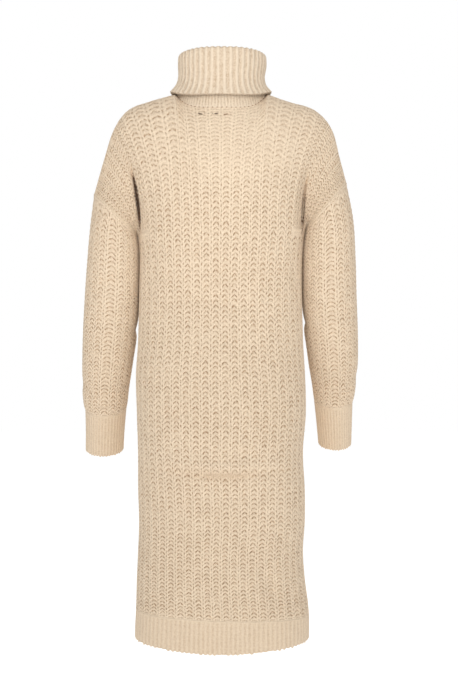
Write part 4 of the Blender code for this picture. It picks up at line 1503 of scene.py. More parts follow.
@dataclass(frozen=True)
class Weaver:
    """Lays stitches on a form and closes the cloth behind them."""

    knit: Knit  # the stitches
    coarse_columns: int  # grid columns to one column of the plain inner face
    coarse_courses: int  # courses to one row of it

    def outer(
        self, form: Form, rows: Array, columns: Columns, joint: float | None = None, offset: float = 0.0
    ) -> Patch:
        """A patch of stitches.

        Args:
            form: the surface that their crests touch.
            rows: the courses at which the patch has rows.
            columns: its columns.
            joint: the course at which some wales divide.
            offset: how far beyond the surface the crests stand.

        Returns:
            The patch.
        """
        climbed = self.knit.climbed(rows, columns, joint) * BASE_ROWS_PER_COURSE
        surface, normal = read_rows(form.surface, climbed), unit(read_rows(form.normal, climbed))
        calm, shade = (
            np.clip(read_rows(marks[..., None], climbed)[..., 0], 0, 1) for marks in (form.calm, form.shade)
        )
        if joint is not None:
            beside = np.clip(np.abs(rows - joint) / JOINT_COURSES, JOINT_LEAST, 1)[:, None]
            calm = np.where(dividing(columns), calm * beside, calm) * self.stretched(rows, columns, joint)
        points = surface + normal * (offset - self.knit.dips(rows, columns, calm))[..., None]
        # how strongly the stitches get painted shade and sunk relief, more on the narrow wales over the arms
        stitch = calm * np.where(columns.split, SPLIT_SHADE_AND_RELIEF, 1.0)
        return Patch(points, self.wales(columns.weave), rows, shade, stitch, np.zeros_like(calm))

    def wales(self, weave: Array) -> Array:
        """The wale counts of a patch's columns, with the first column's again at the end of a closed one."""
        return np.append(weave, weave[0] + self.knit.wales) if self.knit.closed else weave

    def stretched(self, rows: Array, columns: Columns, joint: float) -> Array:
        """How much of their depth and of their painted shade the stitches keep: less towards the neck, where the
        yoke is stretched.

        They lose the softer share times smoothstep of the way up from 0.15 to 0.60, times
        exp(-((share - middle) / width)^2).

        Args:
            rows: the courses at which the patch has rows.
            columns: its columns.
            joint: the course at the armpits.

        Returns:
            Rows by columns.
        """
        up = ramp((rows - joint) / (self.knit.courses - joint) - SOFT_START, SOFT_SPAN)[:, None]
        across = np.exp(-(((columns.share - SOFT_MIDDLE) / SOFT_WIDTH) ** 2))
        return 1 - YOKE_SOFTER * up * up * (3 - 2 * up) * across

    def inner(self, form: Form) -> Patch:
        """The plain inner face, one wall further in.

        Args:
            form: the surface that the crests touch.

        Returns:
            The patch, its grid coarser than the form's.
        """
        step = self.coarse_courses * BASE_ROWS_PER_COURSE
        points = (form.surface - WALL * form.normal)[::step, :: self.coarse_columns]
        wales = self.wales(self.knit.columns().weave[:: self.coarse_columns])
        plain = np.zeros(points.shape[:2])
        return Patch(points, wales, np.arange(len(points)) * self.coarse_courses, plain, plain, plain + 1)

    def rows(self, first: float, last: float) -> Array:
        """The courses at which a patch has rows, both ends included."""
        return np.arange(round((last - first) * ROWS_PER_COURSE) + 1) / ROWS_PER_COURSE + first

    def tube(self, name: str, form: Form) -> Piece:
        """A piece with one patch outside and one inside, open or closed round.

        Args:
            name: the object's name.
            form: the surface that its crests touch.

        Returns:
            The object.
        """
        mesh = ClothMesh(name, self.knit.closed)
        outer = mesh.corners(self.outer(form, self.rows(0, self.knit.courses), self.knit.columns()))
        mesh.faces.add_grid(outer)
        self.close(mesh, outer, outer, mesh.corners(self.inner(form)))
        return mesh.build()

    def close(self, mesh: ClothMesh, first: Array, last: Array, inner: Array) -> None:
        """Adds the inner face and the rims that join it to the outer face.

        Args:
            mesh: the cloth.
            first: corners of the outer patch that holds the first row.
            last: corners of the outer patch that holds the last row.
            inner: corners of the inner patch.
        """
        mesh.faces.add_grid(inner[:, ::-1])
        even = np.full(inner.shape[1] - 1, self.coarse_columns)
        mesh.faces.add_strip(inner[0], first[0], even)
        top = even if last is first else even * np.repeat(YOKE_SPLITS, len(self.knit.steps) // self.coarse_columns)
        mesh.faces.add_strip(inner[-1], last[-1], top, turned=True)
        if self.knit.closed:
            return
        tall = np.full(inner.shape[0] - 1, self.coarse_courses * ROWS_PER_COURSE)
        for edge, turned in ((0, True), (-1, False)):
            chain = first[:, edge] if last is first else np.concatenate([first[:, edge], last[:, edge]])
            mesh.faces.add_strip(inner[:, edge], chain, tall, turned)

    def panel(self, name: str, body: Body) -> Piece:
        """A front or back panel, whose outer wales divide above the armpits.

        Args:
            name: the object's name.
            body: its form.

        Returns:
            The object.
        """
        mesh = ClothMesh(name, closed=False)
        joint, last = body.joint, self.knit.courses
        lower, yoke = (
            mesh.corners(self.outer(body.panel(columns), rows, columns, joint))
            for columns, rows in (
                (self.knit.columns(), self.rows(0, joint)),
                (self.knit.columns(YOKE_SPLITS), self.rows(joint, last)[1:]),
            )
        )
        inner = mesh.corners(self.inner(body.panel(self.knit.columns(), inside=True)))
        mesh.faces.add_grid(lower)
        mesh.faces.add_grid(yoke)
        mesh.faces.add_strip(lower[-1], yoke[0], np.repeat(YOKE_SPLITS, len(self.knit.steps)))
        self.close(mesh, lower, yoke, inner)
        return mesh.build()


# ---- Finishes ----


FLOAT, COLOR, VECTOR = "NodeSocketFloat", "NodeSocketColor", "NodeSocketVector"


@dataclass(frozen=True)
class Wire:
    """What comes out of a node in a group; sums of wires and numbers make the math nodes."""

    group: GroupMaker
    socket: bpy.types.NodeSocket

    def __add__(self, other: Wire | float) -> Wire:
        """This plus the other."""
        return self.group.math("ADD", self, other)

    def __radd__(self, other: float) -> Wire:
        """The other plus this."""
        return self.group.math("ADD", other, self)

    def __sub__(self, other: Wire | float) -> Wire:
        """This less the other."""
        return self.group.math("SUBTRACT", self, other)

    def __rsub__(self, other: float) -> Wire:
        """The other less this."""
        return self.group.math("SUBTRACT", other, self)

    def __mul__(self, other: Wire | float) -> Wire:
        """This times the other."""
        return self.group.math("MULTIPLY", self, other)

    def __truediv__(self, other: Wire | float) -> Wire:
        """This divided by the other."""
        return self.group.math("DIVIDE", self, other)


class GroupMaker:
    """Builds one node group from nodes and links."""

    def __init__(self, name: str, inputs: dict[str, str | float], outputs: dict[str, str]) -> None:
        """Starts an empty group.

        Args:
            name: the group's name.
            inputs: the kind of each input, or the value that a number has unless a material sets another.
            outputs: the kind of each output.
        """
        self.tree = bpy.data.node_groups.new(name, "ShaderNodeTree")
        for socket, kind in inputs.items():
            number = isinstance(kind, float)
            kept = FLOAT if number else kind
            made = self.tree.interface.new_socket(name=socket, in_out="INPUT", socket_type=kept)
            if number:
                made.default_value = kind
        for socket, kind in outputs.items():
            self.tree.interface.new_socket(name=socket, in_out="OUTPUT", socket_type=kind)
        self.inputs = self.tree.nodes.new("NodeGroupInput")
        self.outputs = self.tree.nodes.new("NodeGroupOutput")

    def take(self, name: str) -> Wire:
        """One of the group's inputs."""
        return Wire(self, self.inputs.outputs[name])

    def give(self, name: str, value: Wire) -> None:
        """Joins a wire to one of the group's outputs."""
        self.tree.links.new(value.socket, self.outputs.inputs[name])

    def node(self, kind: str, fed: dict[str | int, Wire | float], output: str | int = 0, **settings: str) -> Wire:
        """Adds a node.

        Args:
            kind: the node's type.
            fed: the wire or the number of each input.
            output: the output that is used.
            settings: the node's properties.

        Returns:
            That output.
        """
        made = self.tree.nodes.new(kind)
        for name, value in settings.items():
            setattr(made, name, value)
        for name, value in fed.items():
            if isinstance(value, Wire):
                self.tree.links.new(value.socket, made.inputs[name])
            else:
                made.inputs[name].default_value = value
        return Wire(self, made.outputs[output])

    def math(self, operation: str, first: Wire | float, second: Wire | float = 0.0) -> Wire:
        """A math node."""
        return self.node("ShaderNodeMath", {0: first, 1: second}, operation=operation)

    def smooth(self, value: Wire, low: Wire | float, high: Wire | float) -> Wire:
        """Rises smoothly from 0 at low to 1 at high, or falls to it where high is the lower."""
        fed = {"Value": value, "From Min": low, "From Max": high}
        return self.node("ShaderNodeMapRange", fed, interpolation_type="SMOOTHSTEP")

    def clamped(self, value: Wire) -> Wire:
        """The value, held between 0 and 1."""
        return self.node("ShaderNodeClamp", {"Value": value})

    def from_middle(self, value: Wire) -> Wire:
        """How far a value lies from the middle of its whole step: |fract(value) - 0.5|."""
        return self.math("ABSOLUTE", self.math("FRACT", value) - 0.5)

    def strength(self, wale: Wire, course: Wire) -> Wire:
        """A random strength for each whole wale and course."""
        stitch = self.node("ShaderNodeCombineXYZ", {0: self.math("FLOOR", wale), 1: self.math("FLOOR", course)})
        chance = self.node("ShaderNodeTexWhiteNoise", {"Vector": stitch}, "Value", noise_dimensions="2D")
        return chance * STRENGTH_SPREAD + STRENGTH_LEAST

    def mixed(self, factor: Wire, first: Wire, second: Wire) -> Wire:
        """A mix of two colours."""
        return self.node("ShaderNodeMix", {"Factor": factor, "A": first, "B": second}, "Result", data_type="RGBA")

    def noise(self, scale: float, detail: float, output: str | int = 0) -> Wire:
        """A noise texture over the group's places."""
        fed = {"Scale": scale, "Detail": detail, "Vector": self.take("Place")}
        return self.node("ShaderNodeTexNoise", fed, output)

    def parts(self, vector: Wire) -> list[Wire]:
        """The three numbers of a vector or colour."""
        first = self.node("ShaderNodeSeparateXYZ", {0: vector})
        return [Wire(self, output) for output in first.socket.node.outputs]


# Stitch marks: painted shade in the yarn's colour and sunk relief in its bump
STRENGTH_LEAST, STRENGTH_SPREAD = 0.70, 0.35  # how strongly single stitches are marked
WAVER_SCALE, WAVER = 90.0, (0.22, 0.75)  # how finely the marks waver, and how far, in wales and courses
GROOVE_CORE = 0.3  # share of a groove's width over which it is full
DASH_START, DASH_FULL = 0.3, 0.8  # where a dash of a groove begins and is full, from its gap to its middle
ARCH_OUT, ARCH_IN = 0.05, 0.06  # an arch fades from this far beyond its reach to this far short of it
ARCH_END, ARCH_FULL = 0.28, 0.06  # half heights at which it ends and is full, in courses
ARCH_MIDDLE = 0.35  # how strong it is in the middle of its wale, where it is 1 at its reach
ARCH_SHADOW = 0.09  # a faint shade all along the wale's middle
GRAIN_SCALE, GRAIN_LOW, GRAIN_HIGH = 480.0, 0.36, 0.62  # of the fibres that break the marks up
GRAIN_LEAST, GRAIN_GAIN = 0.40, 1.1
PATCH_SCALE, PATCH_SHARE = 14.0, 0.5  # of the mottle's broad patches
FLECK_SCALE, FLECK_SHARE = 430.0, 3.5  # and of its flecks
MOTTLE_MIDDLE = 2.0  # half of the two shares together
INSIDE_SHADE = 0.30  # how much of the deep colour the inner face has, as painted shade
LEAST_DEPTH = 0.15  # how much of the deep colour all of the cloth has, an even tone
CREASE_SHADE_RAGGED = 0.9  # how much the flecks fray the edge of a crease's painted shadow
# where the painted crease shadow begins, where it is full, and the most of the dark colour that it takes
CREASE_SHADE_EDGE, CREASE_SHADE_FULL, CREASE_SHADE_MOST = 0.30, 0.75, 0.94
PLY_HEIGHT, BUMP_HEIGHT, BUMP_SWAY = 0.22, 1.3, 0.4
FUZZ_SCALE, FUZZ_HEIGHT = 900.0, 0.55
CURL_SCALE, CURL_HEIGHT = 330.0, 0.65
MARK_DEPTH = 1.6
LEAST_ROUGH, FUZZ_ROUGH = 0.84, 0.14


def stitch_shade_and_relief_group() -> bpy.types.NodeTree:
    """Where the knit lies deep, as painted shade in the colour and sunk relief in the bump:
    a dashed groove between two wales and an arch in the middle of each stitch.

    u counts wales and v courses, each a little wavy. The groove is a smooth step of |fract(u) - 0.5| at its width,
    with a dash in each course. The arch is one at its reach, stronger the further out, times one of
    |fract(v) - 0.5|, over a faint shade all along the wale. Each stitch has its own strength, and a fine noise
    breaks the marks up.

    Returns:
        The group.
    """
    inputs = {
        "Weave": VECTOR, "Stitch": 1.0, "Groove": 1.0, "Width": 0.1, "Dashes": 0.6, "Arch": 0.5, "Reach": 0.29,
        "Place": VECTOR,
    }
    group = GroupMaker("stitch marks", inputs, {"Depth": FLOAT})
    take, smooth = group.take, group.smooth
    waves = group.parts(group.noise(WAVER_SCALE, 1.0, "Color"))
    wales, courses = (
        count + (wave - 0.5) * size for count, wave, size in zip(group.parts(take("Weave")), waves, WAVER)
    )
    across = group.from_middle(wales)
    width, reach = take("Width"), take("Reach")
    dash = smooth(group.from_middle(courses + 0.5) * 2.0, DASH_START, DASH_FULL)
    groove = smooth(across, 0.5 - width, 0.5 - width * GROOVE_CORE) * (1.0 - take("Dashes") * (1.0 - dash))
    groove = groove * group.strength(wales + 0.5, courses)
    flank = smooth(across, reach + ARCH_OUT, reach - ARCH_IN)
    arch = flank * (across / reach * (1 - ARCH_MIDDLE) + ARCH_MIDDLE)
    arch = arch * smooth(group.from_middle(courses), ARCH_END, ARCH_FULL) * group.strength(wales, courses)
    # the painted shade of the grooves and arches, which the surface group also sinks into the bump
    deep = groove * take("Groove") + (arch + flank * ARCH_SHADOW) * take("Arch")
    grain = smooth(group.noise(GRAIN_SCALE, 1.0), GRAIN_LOW, GRAIN_HIGH)
    group.give("Depth", group.clamped(deep * (grain * GRAIN_GAIN + GRAIN_LEAST) * take("Stitch")))
    return group.tree


def yarn_colour_and_painted_shade_group() -> bpy.types.NodeTree:
    """The colour of a yarn: mottled along its length, with painted shade between the stitches, on the inside and
    in a crease.

    The share of the deep colour sums the marks' painted shade, the inner face's painted shade and the mottle's
    patches and flecks. The share of the dark colour, a painted crease shadow, is a smooth step of the crease,
    which the flecks fray.

    Returns:
        The group.
    """
    inputs = {
        "Light": COLOR, "Deep": COLOR, "Dark": COLOR, "Marks": 0.0, "Inside": 0.0, "Crease": 0.0,
        "Place": VECTOR, "Mottle": 0.1,
    }
    group = GroupMaker("yarn colour", inputs, {"Color": COLOR})
    take = group.take
    patches, flecks = group.noise(PATCH_SCALE, 2.0), group.noise(FLECK_SCALE, 2.0)
    uneven = (patches * PATCH_SHARE + flecks * FLECK_SHARE - MOTTLE_MIDDLE) * take("Mottle")
    # painted shade of the stitch marks and the inner face, plus the mottle and an even tone
    depth = take("Marks") + take("Inside") * INSIDE_SHADE + uneven + LEAST_DEPTH
    colour_with_painted_shade = group.mixed(group.clamped(depth), take("Light"), take("Deep"))
    # painted shadow in the creases, its edge frayed by the flecks
    ragged_crease_shade = take("Crease") + (flecks - 0.5) * CREASE_SHADE_RAGGED
    sunk = group.smooth(ragged_crease_shade, CREASE_SHADE_EDGE, CREASE_SHADE_FULL) * CREASE_SHADE_MOST
    group.give("Color", group.mixed(sunk, colour_with_painted_shade, take("Dark")))
    return group.tree


def yarn_surface_group() -> bpy.types.NodeTree:
    """The fine relief of a yarn: plies twisted round the strand, purl bumps on the inside, marks and fuzz.

    Outside it is sin(2 pi (plies u + v)), inside sin(2 pi v) (1 + sway sin(2 pi u)). Two noises add the fuzz and
    its curls, and the stitches' marks are sunk.

    Returns:
        The group.
    """
    inputs = {"Weave": VECTOR, "Place": VECTOR, "Inside": 0.0, "Plies": 5.0, "Marks": 0.0}
    group = GroupMaker("yarn surface", inputs, {"Height": FLOAT, "Roughness": FLOAT})
    take = group.take
    wales, courses, _ = group.parts(take("Weave"))
    twist = wales * take("Plies") + courses
    plies, loops, sway = (group.math("SINE", count * (2 * math.pi)) for count in (twist, courses, wales))
    bumps = loops * (sway * BUMP_SWAY + 1.0)
    height = plies * PLY_HEIGHT * (1.0 - take("Inside")) + bumps * BUMP_HEIGHT * take("Inside")
    fuzz, curls = group.noise(FUZZ_SCALE, 4.0), group.noise(CURL_SCALE, 3.0)
    height = height + fuzz * FUZZ_HEIGHT + curls * CURL_HEIGHT - take("Marks") * MARK_DEPTH
    group.give("Height", height)
    group.give("Roughness", LEAST_ROUGH + fuzz * FUZZ_ROUGH)
    return group.tree


class YarnGroups(NamedTuple):
    """The node groups that every yarn shares."""

    marks: bpy.types.NodeTree
    colour: bpy.types.NodeTree
    surface: bpy.types.NodeTree


def yarn_groups() -> YarnGroups:
    """Makes the shared groups."""
    return YarnGroups(stitch_shade_and_relief_group(), yarn_colour_and_painted_shade_group(), yarn_surface_group())


SHEEN_TINT = (1.0, 0.87, 0.72, 1.0)  # of the stray fibres
SHEEN_SPREAD = 0.6
YARN_GLOSS = 0.25
THREAD_MOTTLE_SCALE = 400.0
THREAD_MOTTLE = 0.82  # how dark its darkest places are
WHITE = (1.0, 1.0, 1.0, 1.0)


@dataclass(frozen=True)
class YarnFinish:
    """A knitted yarn's finish, with painted shade in its stitches, on its inner face and in its creases."""

    name: str  # the material's name
    light: tuple[float, float, float]  # colour of the strands' tops
    deep: tuple[float, float, float]  # painted shade colour in the dips between them, also the darker side of the mottle
    dark: tuple[float, float, float] = (0.120, 0.050, 0.018)  # painted shadow colour in the depths of a crease
    mottle: float = 0.30  # how uneven the colour is
    groove: float = 0.80  # how strong the painted shade gets between two wales
    width: float = 0.080  # half width of that groove, in wales
    dashes: float = 0.80  # how far it is broken into one dash for each course
    arch: float = 0.90  # how strong the painted shade gets in the middle of a stitch
    reach: float = 0.29  # half width of that arch, in wales
    plies: float = 5.0  # plies crossed on the way over one wale
    relief: float = 0.00035  # height of the fine relief, in metres
    sheen: float = 0.32  # how strongly stray fibres catch the light

    def material(self, groups: YarnGroups) -> bpy.types.Material:
        """Builds the material.

        Args:
            groups: the shared node groups.

        Returns:
            The material.
        """
        made = bpy.data.materials.new(self.name)
        made.use_nodes = True
        nodes, links = made.node_tree.nodes, made.node_tree.links
        shader, bump = nodes["Principled BSDF"], nodes.new("ShaderNodeBump")
        place, weave = nodes.new("ShaderNodeTexCoord"), nodes.new("ShaderNodeUVMap")
        weave.uv_map = "weave"
        marks, colour, surface = (nodes.new("ShaderNodeGroup") for _ in groups)
        marks.node_tree, colour.node_tree, surface.node_tree = groups
        for name in ("groove", "width", "dashes", "arch", "reach"):
            marks.inputs[name.capitalize()].default_value = getattr(self, name)
        for name in ("light", "deep", "dark"):
            colour.inputs[name.capitalize()].default_value = (*getattr(self, name), 1.0)
        colour.inputs["Mottle"].default_value = self.mottle
        surface.inputs["Plies"].default_value = self.plies
        # The crease and inside masks carry painted shade into the colour; the stitch mask sets the painted stitch
        # shade and relief.
        for name, users in (("crease", (colour,)), ("stitch", (marks,)), ("inside", (colour, surface))):
            mark = nodes.new("ShaderNodeAttribute")
            mark.attribute_name = name
            for user in users:
                links.new(mark.outputs["Fac"], user.inputs[name.capitalize()])
        joined = (
            (weave.outputs["UV"], "Weave", (marks, surface)),
            (place.outputs["Object"], "Place", (marks, colour, surface)),
            (marks.outputs["Depth"], "Marks", (colour, surface)),
            (surface.outputs["Height"], "Height", (bump,)),
            (bump.outputs["Normal"], "Normal", (shader,)),
            (colour.outputs["Color"], "Base Color", (shader,)),
            (surface.outputs["Roughness"], "Roughness", (shader,)),
        )
        for source, name, users in joined:
            for user in users:
                links.new(source, user.inputs[name])
        bump.inputs["Strength"].default_value = 1.0
        bump.inputs["Distance"].default_value = self.relief
        shader.inputs["Metallic"].default_value = 0.0
        shader.inputs["Specular IOR Level"].default_value = YARN_GLOSS
        shader.inputs["Sheen Weight"].default_value = self.sheen
        shader.inputs["Sheen Tint"].default_value = SHEEN_TINT
        shader.inputs["Sheen Roughness"].default_value = SHEEN_SPREAD
        return made


@dataclass(frozen=True)
class PlainFinish:
    """A thread or studio finish without weave."""

    name: str
    colour: tuple[float, float, float]
    roughness: float
    glow: float = 0.0

    def material(self) -> bpy.types.Material:
        """Builds the material.

        Returns:
            The material, with a slight unevenness of colour.
        """
        made = bpy.data.materials.new(self.name)
        made.use_nodes = True
        nodes, links = made.node_tree.nodes, made.node_tree.links
        shader = nodes["Principled BSDF"]
        place = nodes.new("ShaderNodeTexCoord")
        noise = nodes.new("ShaderNodeTexNoise")
        noise.inputs["Scale"].default_value = THREAD_MOTTLE_SCALE
        links.new(place.outputs["Object"], noise.inputs["Vector"])
        mix = nodes.new("ShaderNodeMix")
        mix.data_type = "RGBA"
        mix.inputs["A"].default_value = (*self.colour, 1.0)
        mix.inputs["B"].default_value = (*(THREAD_MOTTLE * part for part in self.colour), 1.0)
        links.new(noise.outputs[0], mix.inputs["Factor"])
        links.new(mix.outputs["Result"], shader.inputs["Base Color"])
        shader.inputs["Roughness"].default_value = self.roughness
        shader.inputs["Emission Color"].default_value = WHITE
        shader.inputs["Emission Strength"].default_value = self.glow
        return made


# The second colour of each yarn is its painted shade in the dips, stitch marks and inner face, and the darker side
# of its mottle.
BODY_YARN = YarnFinish("body yarn", (0.805, 0.664, 0.500), (0.380, 0.246, 0.145))
SLEEVE_YARN = YarnFinish("sleeve yarn", (0.800, 0.660, 0.498), (0.370, 0.238, 0.140), arch=0.82, reach=0.30)
RIB_YARN = YarnFinish(
    "rib yarn", (0.765, 0.628, 0.470), (0.415, 0.272, 0.160),
    mottle=0.20, groove=0.24, width=0.38, dashes=0.10, arch=0.05, plies=3.0, relief=0.0003,
)
ROLL_YARN = YarnFinish(
    "roll yarn", (0.785, 0.668, 0.522), (0.430, 0.298, 0.187),
    mottle=0.15, groove=0.42, width=0.46, dashes=0.05, arch=0.04, plies=3.0, relief=0.0003,
)
TACK_THREAD = PlainFinish("tack thread", (0.075, 0.045, 0.028), 0.9)
# A real thread, coloured dark brown so that the surfaced stitches of the neck seam paint the row of shadow dots
# along it.
SEAM_THREAD_AND_SHADOW = PlainFinish("seam thread", (0.360, 0.205, 0.125), 0.9)
JOIN_THREAD = PlainFinish("join thread", (0.640, 0.490, 0.340), 0.9)
FLOOR_FINISH = PlainFinish("floor", (0.90, 0.90, 0.90), 0.9, glow=0.75)


# ---- Seams ----


def thread_tube(name: str, path: Array, radius: Array, closed: bool, sides: int = 6) -> Piece:
    """A thread: a ring of points around each point of a path, in the plane square to it, with capped ends.

    Args:
        name: the object's name.
        path: points along the thread.
        radius: its radius at each point.
        closed: whether it joins up.
        sides: points in each ring.

    Returns:
        The object.
    """
    ahead = unit(np.roll(path, -1, axis=0) - np.roll(path, 1, axis=0) if closed else np.gradient(path, axis=0))
    aside = unit(np.cross(ahead, np.array(ACROSS_NO_THREAD)))
    above = np.cross(aside, ahead)
    turn = np.linspace(0, 2 * math.pi, sides, endpoint=False)[None, :, None]
    rings = path[:, None] + radius[:, None, None] * (np.cos(turn) * aside[:, None] + np.sin(turn) * above[:, None])
    grid = np.arange(len(path) * sides).reshape(len(path), sides)
    grid = np.concatenate([grid, grid[:, :1]], axis=1)
    faces = FaceList()
    if closed:
        faces.add_grid(np.concatenate([grid, grid[:1]], axis=0))
    else:
        faces.add_grid(grid)
        faces.add(grid[0, :-1][::-1][None, :])
        faces.add(grid[-1, :-1][None, :])
    corners = faces.loops()
    return make_piece(name, rings.reshape(-1, 3), corners, faces.starts(), np.zeros((len(corners), 2)))


class Tack(NamedTuple):
    """A short stitch on the back of the dress: where it starts and ends, and how thick its thread is."""

    start: tuple[float, float]  # across, up
    end: tuple[float, float]
    radius: float
    finish: PlainFinish


TACKS = rows_of(
    Tack,
    ((-0.0437, -0.0352), (-0.0352, -0.0374), 0.0008, TACK_THREAD),
    ((-0.0315, -0.0361), (-0.0304, -0.0363), 0.0007, TACK_THREAD),
    ((-0.0239, -0.0363), (-0.0228, -0.0364), 0.0007, TACK_THREAD),
    ((-0.0169, -0.0364), (-0.0158, -0.0364), 0.0007, TACK_THREAD),
    ((-0.0130, -0.0368), (-0.0054, -0.0364), 0.0008, TACK_THREAD),
    ((0.0040, -0.0381), (0.0140, -0.0376), 0.0006, SEAM_THREAD_AND_SHADOW),
)
TACK_DEPTH = 0.060  # the cloth under a tack lies further back than this
TACK_TAPER = (0.4, 1, 1, 1, 1, 0.4)  # its thickness from end to end
STITCH_STEP = 0.009  # between two stitches of a seam
STITCH_RADIUS = 0.0012
STITCH_POWER = 0.6  # how blunt the ends of a stitch are
SUNK_RADIUS = 0.0003  # of the thread where it passes under the cloth
SINK = 0.0040  # how far the neck's thread passes under it
FILLING_RADIUS = 0.0007  # of the thread that lies in the neck seam
SEAM_SAMPLES = 7  # points of the thread for each stitch
ACROSS_NO_THREAD = (0.13, 0.31, 0.94)  # a direction that no thread takes


@dataclass(frozen=True)
class Seams:
    """The threads that show: tacks below the neck, and the running stitches of the neck and armhole seams."""

    def tack(self, name: str, tack: Tack, cloth: Array) -> Piece:
        """One tack, laid on the nearest points of the cloth and a little proud of them.

        Args:
            name: the object's name.
            tack: its place and thread.
            cloth: points of the back panel.

        Returns:
            The object.
        """
        share = np.linspace(0, 1, len(TACK_TAPER))[:, None]
        flat = np.array(tack.start) * (1 - share) + np.array(tack.end) * share
        nearest = [np.argmin(np.hypot(cloth[:, 0] - across, cloth[:, 2] - up)) for across, up in flat]
        out = np.full(len(flat), cloth[nearest, 1].min() - tack.radius)
        path = np.stack([flat[:, 0], out, flat[:, 1]], axis=1)
        return thread_tube(name, path, tack.radius * np.array(TACK_TAPER), closed=False)

    def running(self, name: str, line: Array, outwards: Array, sink: float) -> Piece:
        """Running stitches round a closed seam: thick where the thread surfaces and thin where it is sunk.

        Args:
            name: the object's name.
            line: a fine chain of points along the seam, whose last point repeats its first.
            outwards: the direction out of the cloth at each of them.
            sink: how far the thread is sunk between two stitches.

        Returns:
            The object.
        """
        length = travelled(line)
        stitches = int(round(length[-1] / STITCH_STEP))
        places = np.linspace(0, 1, stitches * SEAM_SAMPLES + 1)[:-1]
        out, path = (read_chain(values, length, places * length[-1]) for values in (outwards, line))
        surfaced = np.clip(np.cos(2 * math.pi * (places * stitches - 0.5)), 0, 1) ** STITCH_POWER
        path = path + out * ((surfaced - 1) * sink)[:, None]
        return thread_tube(name, path, SUNK_RADIUS + (STITCH_RADIUS - SUNK_RADIUS) * surfaced, closed=True)

    def neck(self) -> tuple[Piece, Piece]:
        """The seam that joins the collar to the back and front.

        Returns:
            Its stitches and the thread that fills its gap.
        """
        line = Collar().rings(np.linspace(0, 1, CURVE_SAMPLES), np.zeros(1))[0]
        out = unit(line * (1, 1, 0))
        filling = (line - out * FILLING_RADIUS)[:-1]
        return (
            self.running("neck_seam_stitches", line, out, SINK),
            thread_tube("neck_seam_filling", filling, np.full(len(filling), FILLING_RADIUS), closed=True),
        )

    def armhole(self, hand: Hand) -> Piece:
        """The seam that joins a sleeve to the body.

        Args:
            hand: which sleeve.

        Returns:
            Its stitches.
        """
        line = Arm(hand).rings(SLEEVE[hand], np.linspace(0, 1, CURVE_SAMPLES), np.zeros(1))[0]
        out = unit(line - line[:-1].mean(axis=0))
        name = "armhole_" + hand.name.lower() + "_stitches"
        return self.running(name, line - out * STITCH_RADIUS / 2, out, 2 * STITCH_RADIUS)


# ---- The studio ----


@dataclass(frozen=True)
class Lamp:
    """A soft square lamp."""

    name: str
    place: tuple[float, float, float]
    aim: tuple[float, float, float]
    size: float
    power: float

    def build(self) -> None:
        """Adds the lamp to the scene."""
        data = bpy.data.lights.new(self.name, "AREA")
        data.shape = "SQUARE"
        data.size = self.size
        data.energy = self.power
        lamp = placed(self.name, data)
        lamp.location = self.place
        towards = np.array(self.aim) - np.array(self.place)
        flat = math.hypot(towards[0], towards[1])
        lamp.rotation_euler = (math.atan2(flat, -towards[2]), 0.0, math.atan2(-towards[0], towards[1]))


@dataclass(frozen=True)
class Studio:
    """The camera, the soft lamps, the pale floor and the pale surroundings."""

    camera_place: tuple[float, float, float] = (0.0145, -3.0, -0.469)
    camera_width: float = 36.0  # of its sensor, in millimetres
    view_height: float = 1.328  # of the picture, at the distance of the dress
    floor_height: float = -1.49
    floor_size: float = 30.0
    ambient: float = 0.36
    ambient_colour: tuple[float, float, float, float] = (1.0, 0.99, 0.97, 1.0)
    lamps: tuple[Lamp, ...] = (
        Lamp("key", (-0.1, -1.8, 0.55), (0.0, 0.0, 0.05), 1.1, 18.5),
        Lamp("top", (0.0, -1.8, 1.90), (0.0, 0.0, -0.10), 1.6, 6.0),
        Lamp("fill", (0.4, -2.7, -0.35), (0.0, 0.0, 0.05), 1.4, 7.5),
        Lamp("front", (0.6, 2.8, 1.2), (0.0, 0.0, -0.40), 2.0, 34.0),
    )

    def build(self) -> None:
        """Adds everything to the scene."""
        self.add_camera()
        for lamp in self.lamps:
            lamp.build()
        self.add_floor()
        self.add_surroundings()
        settings = bpy.context.scene.view_settings
        settings.view_transform, settings.look = "Standard", "None"

    def add_camera(self) -> None:
        """A level camera behind the dress, framed by its lens."""
        data = bpy.data.cameras.new("camera")
        data.sensor_fit = "AUTO"
        data.sensor_width = self.camera_width
        data.lens = self.camera_width * abs(self.camera_place[1]) / self.view_height
        camera = placed("camera", data)
        camera.location = self.camera_place
        camera.rotation_euler = (math.pi / 2, 0.0, 0.0)
        bpy.context.scene.camera = camera

    def add_floor(self) -> None:
        """One flat pale square well below the hem."""
        half, low = self.floor_size / 2, self.floor_height
        mesh = bpy.data.meshes.new("floor")
        corners = [(-half, -half, low), (half, -half, low), (half, half, low), (-half, half, low)]
        mesh.from_pydata(corners, [], [(0, 1, 2, 3)])
        mesh.materials.append(FLOOR_FINISH.material())
        placed("floor", mesh)

    def add_surroundings(self) -> None:
        """White to look at, and a soft even light on the dress."""
        world = bpy.data.worlds.new("studio")
        bpy.context.scene.world = world
        world.use_nodes = True
        nodes, links = world.node_tree.nodes, world.node_tree.links
        seen, light = nodes["Background"], nodes.new("ShaderNodeBackground")
        for shader, colour, strength in ((seen, WHITE, 1.0), (light, self.ambient_colour, self.ambient)):
            shader.inputs["Color"].default_value = colour
            shader.inputs["Strength"].default_value = strength
        path, mix = nodes.new("ShaderNodeLightPath"), nodes.new("ShaderNodeMixShader")
        links.new(path.outputs["Is Camera Ray"], mix.inputs["Fac"])
        links.new(light.outputs[0], mix.inputs[1])
        links.new(seen.outputs[0], mix.inputs[2])
        links.new(mix.outputs[0], nodes["World Output"].inputs["Surface"])


# ---- The dress ----


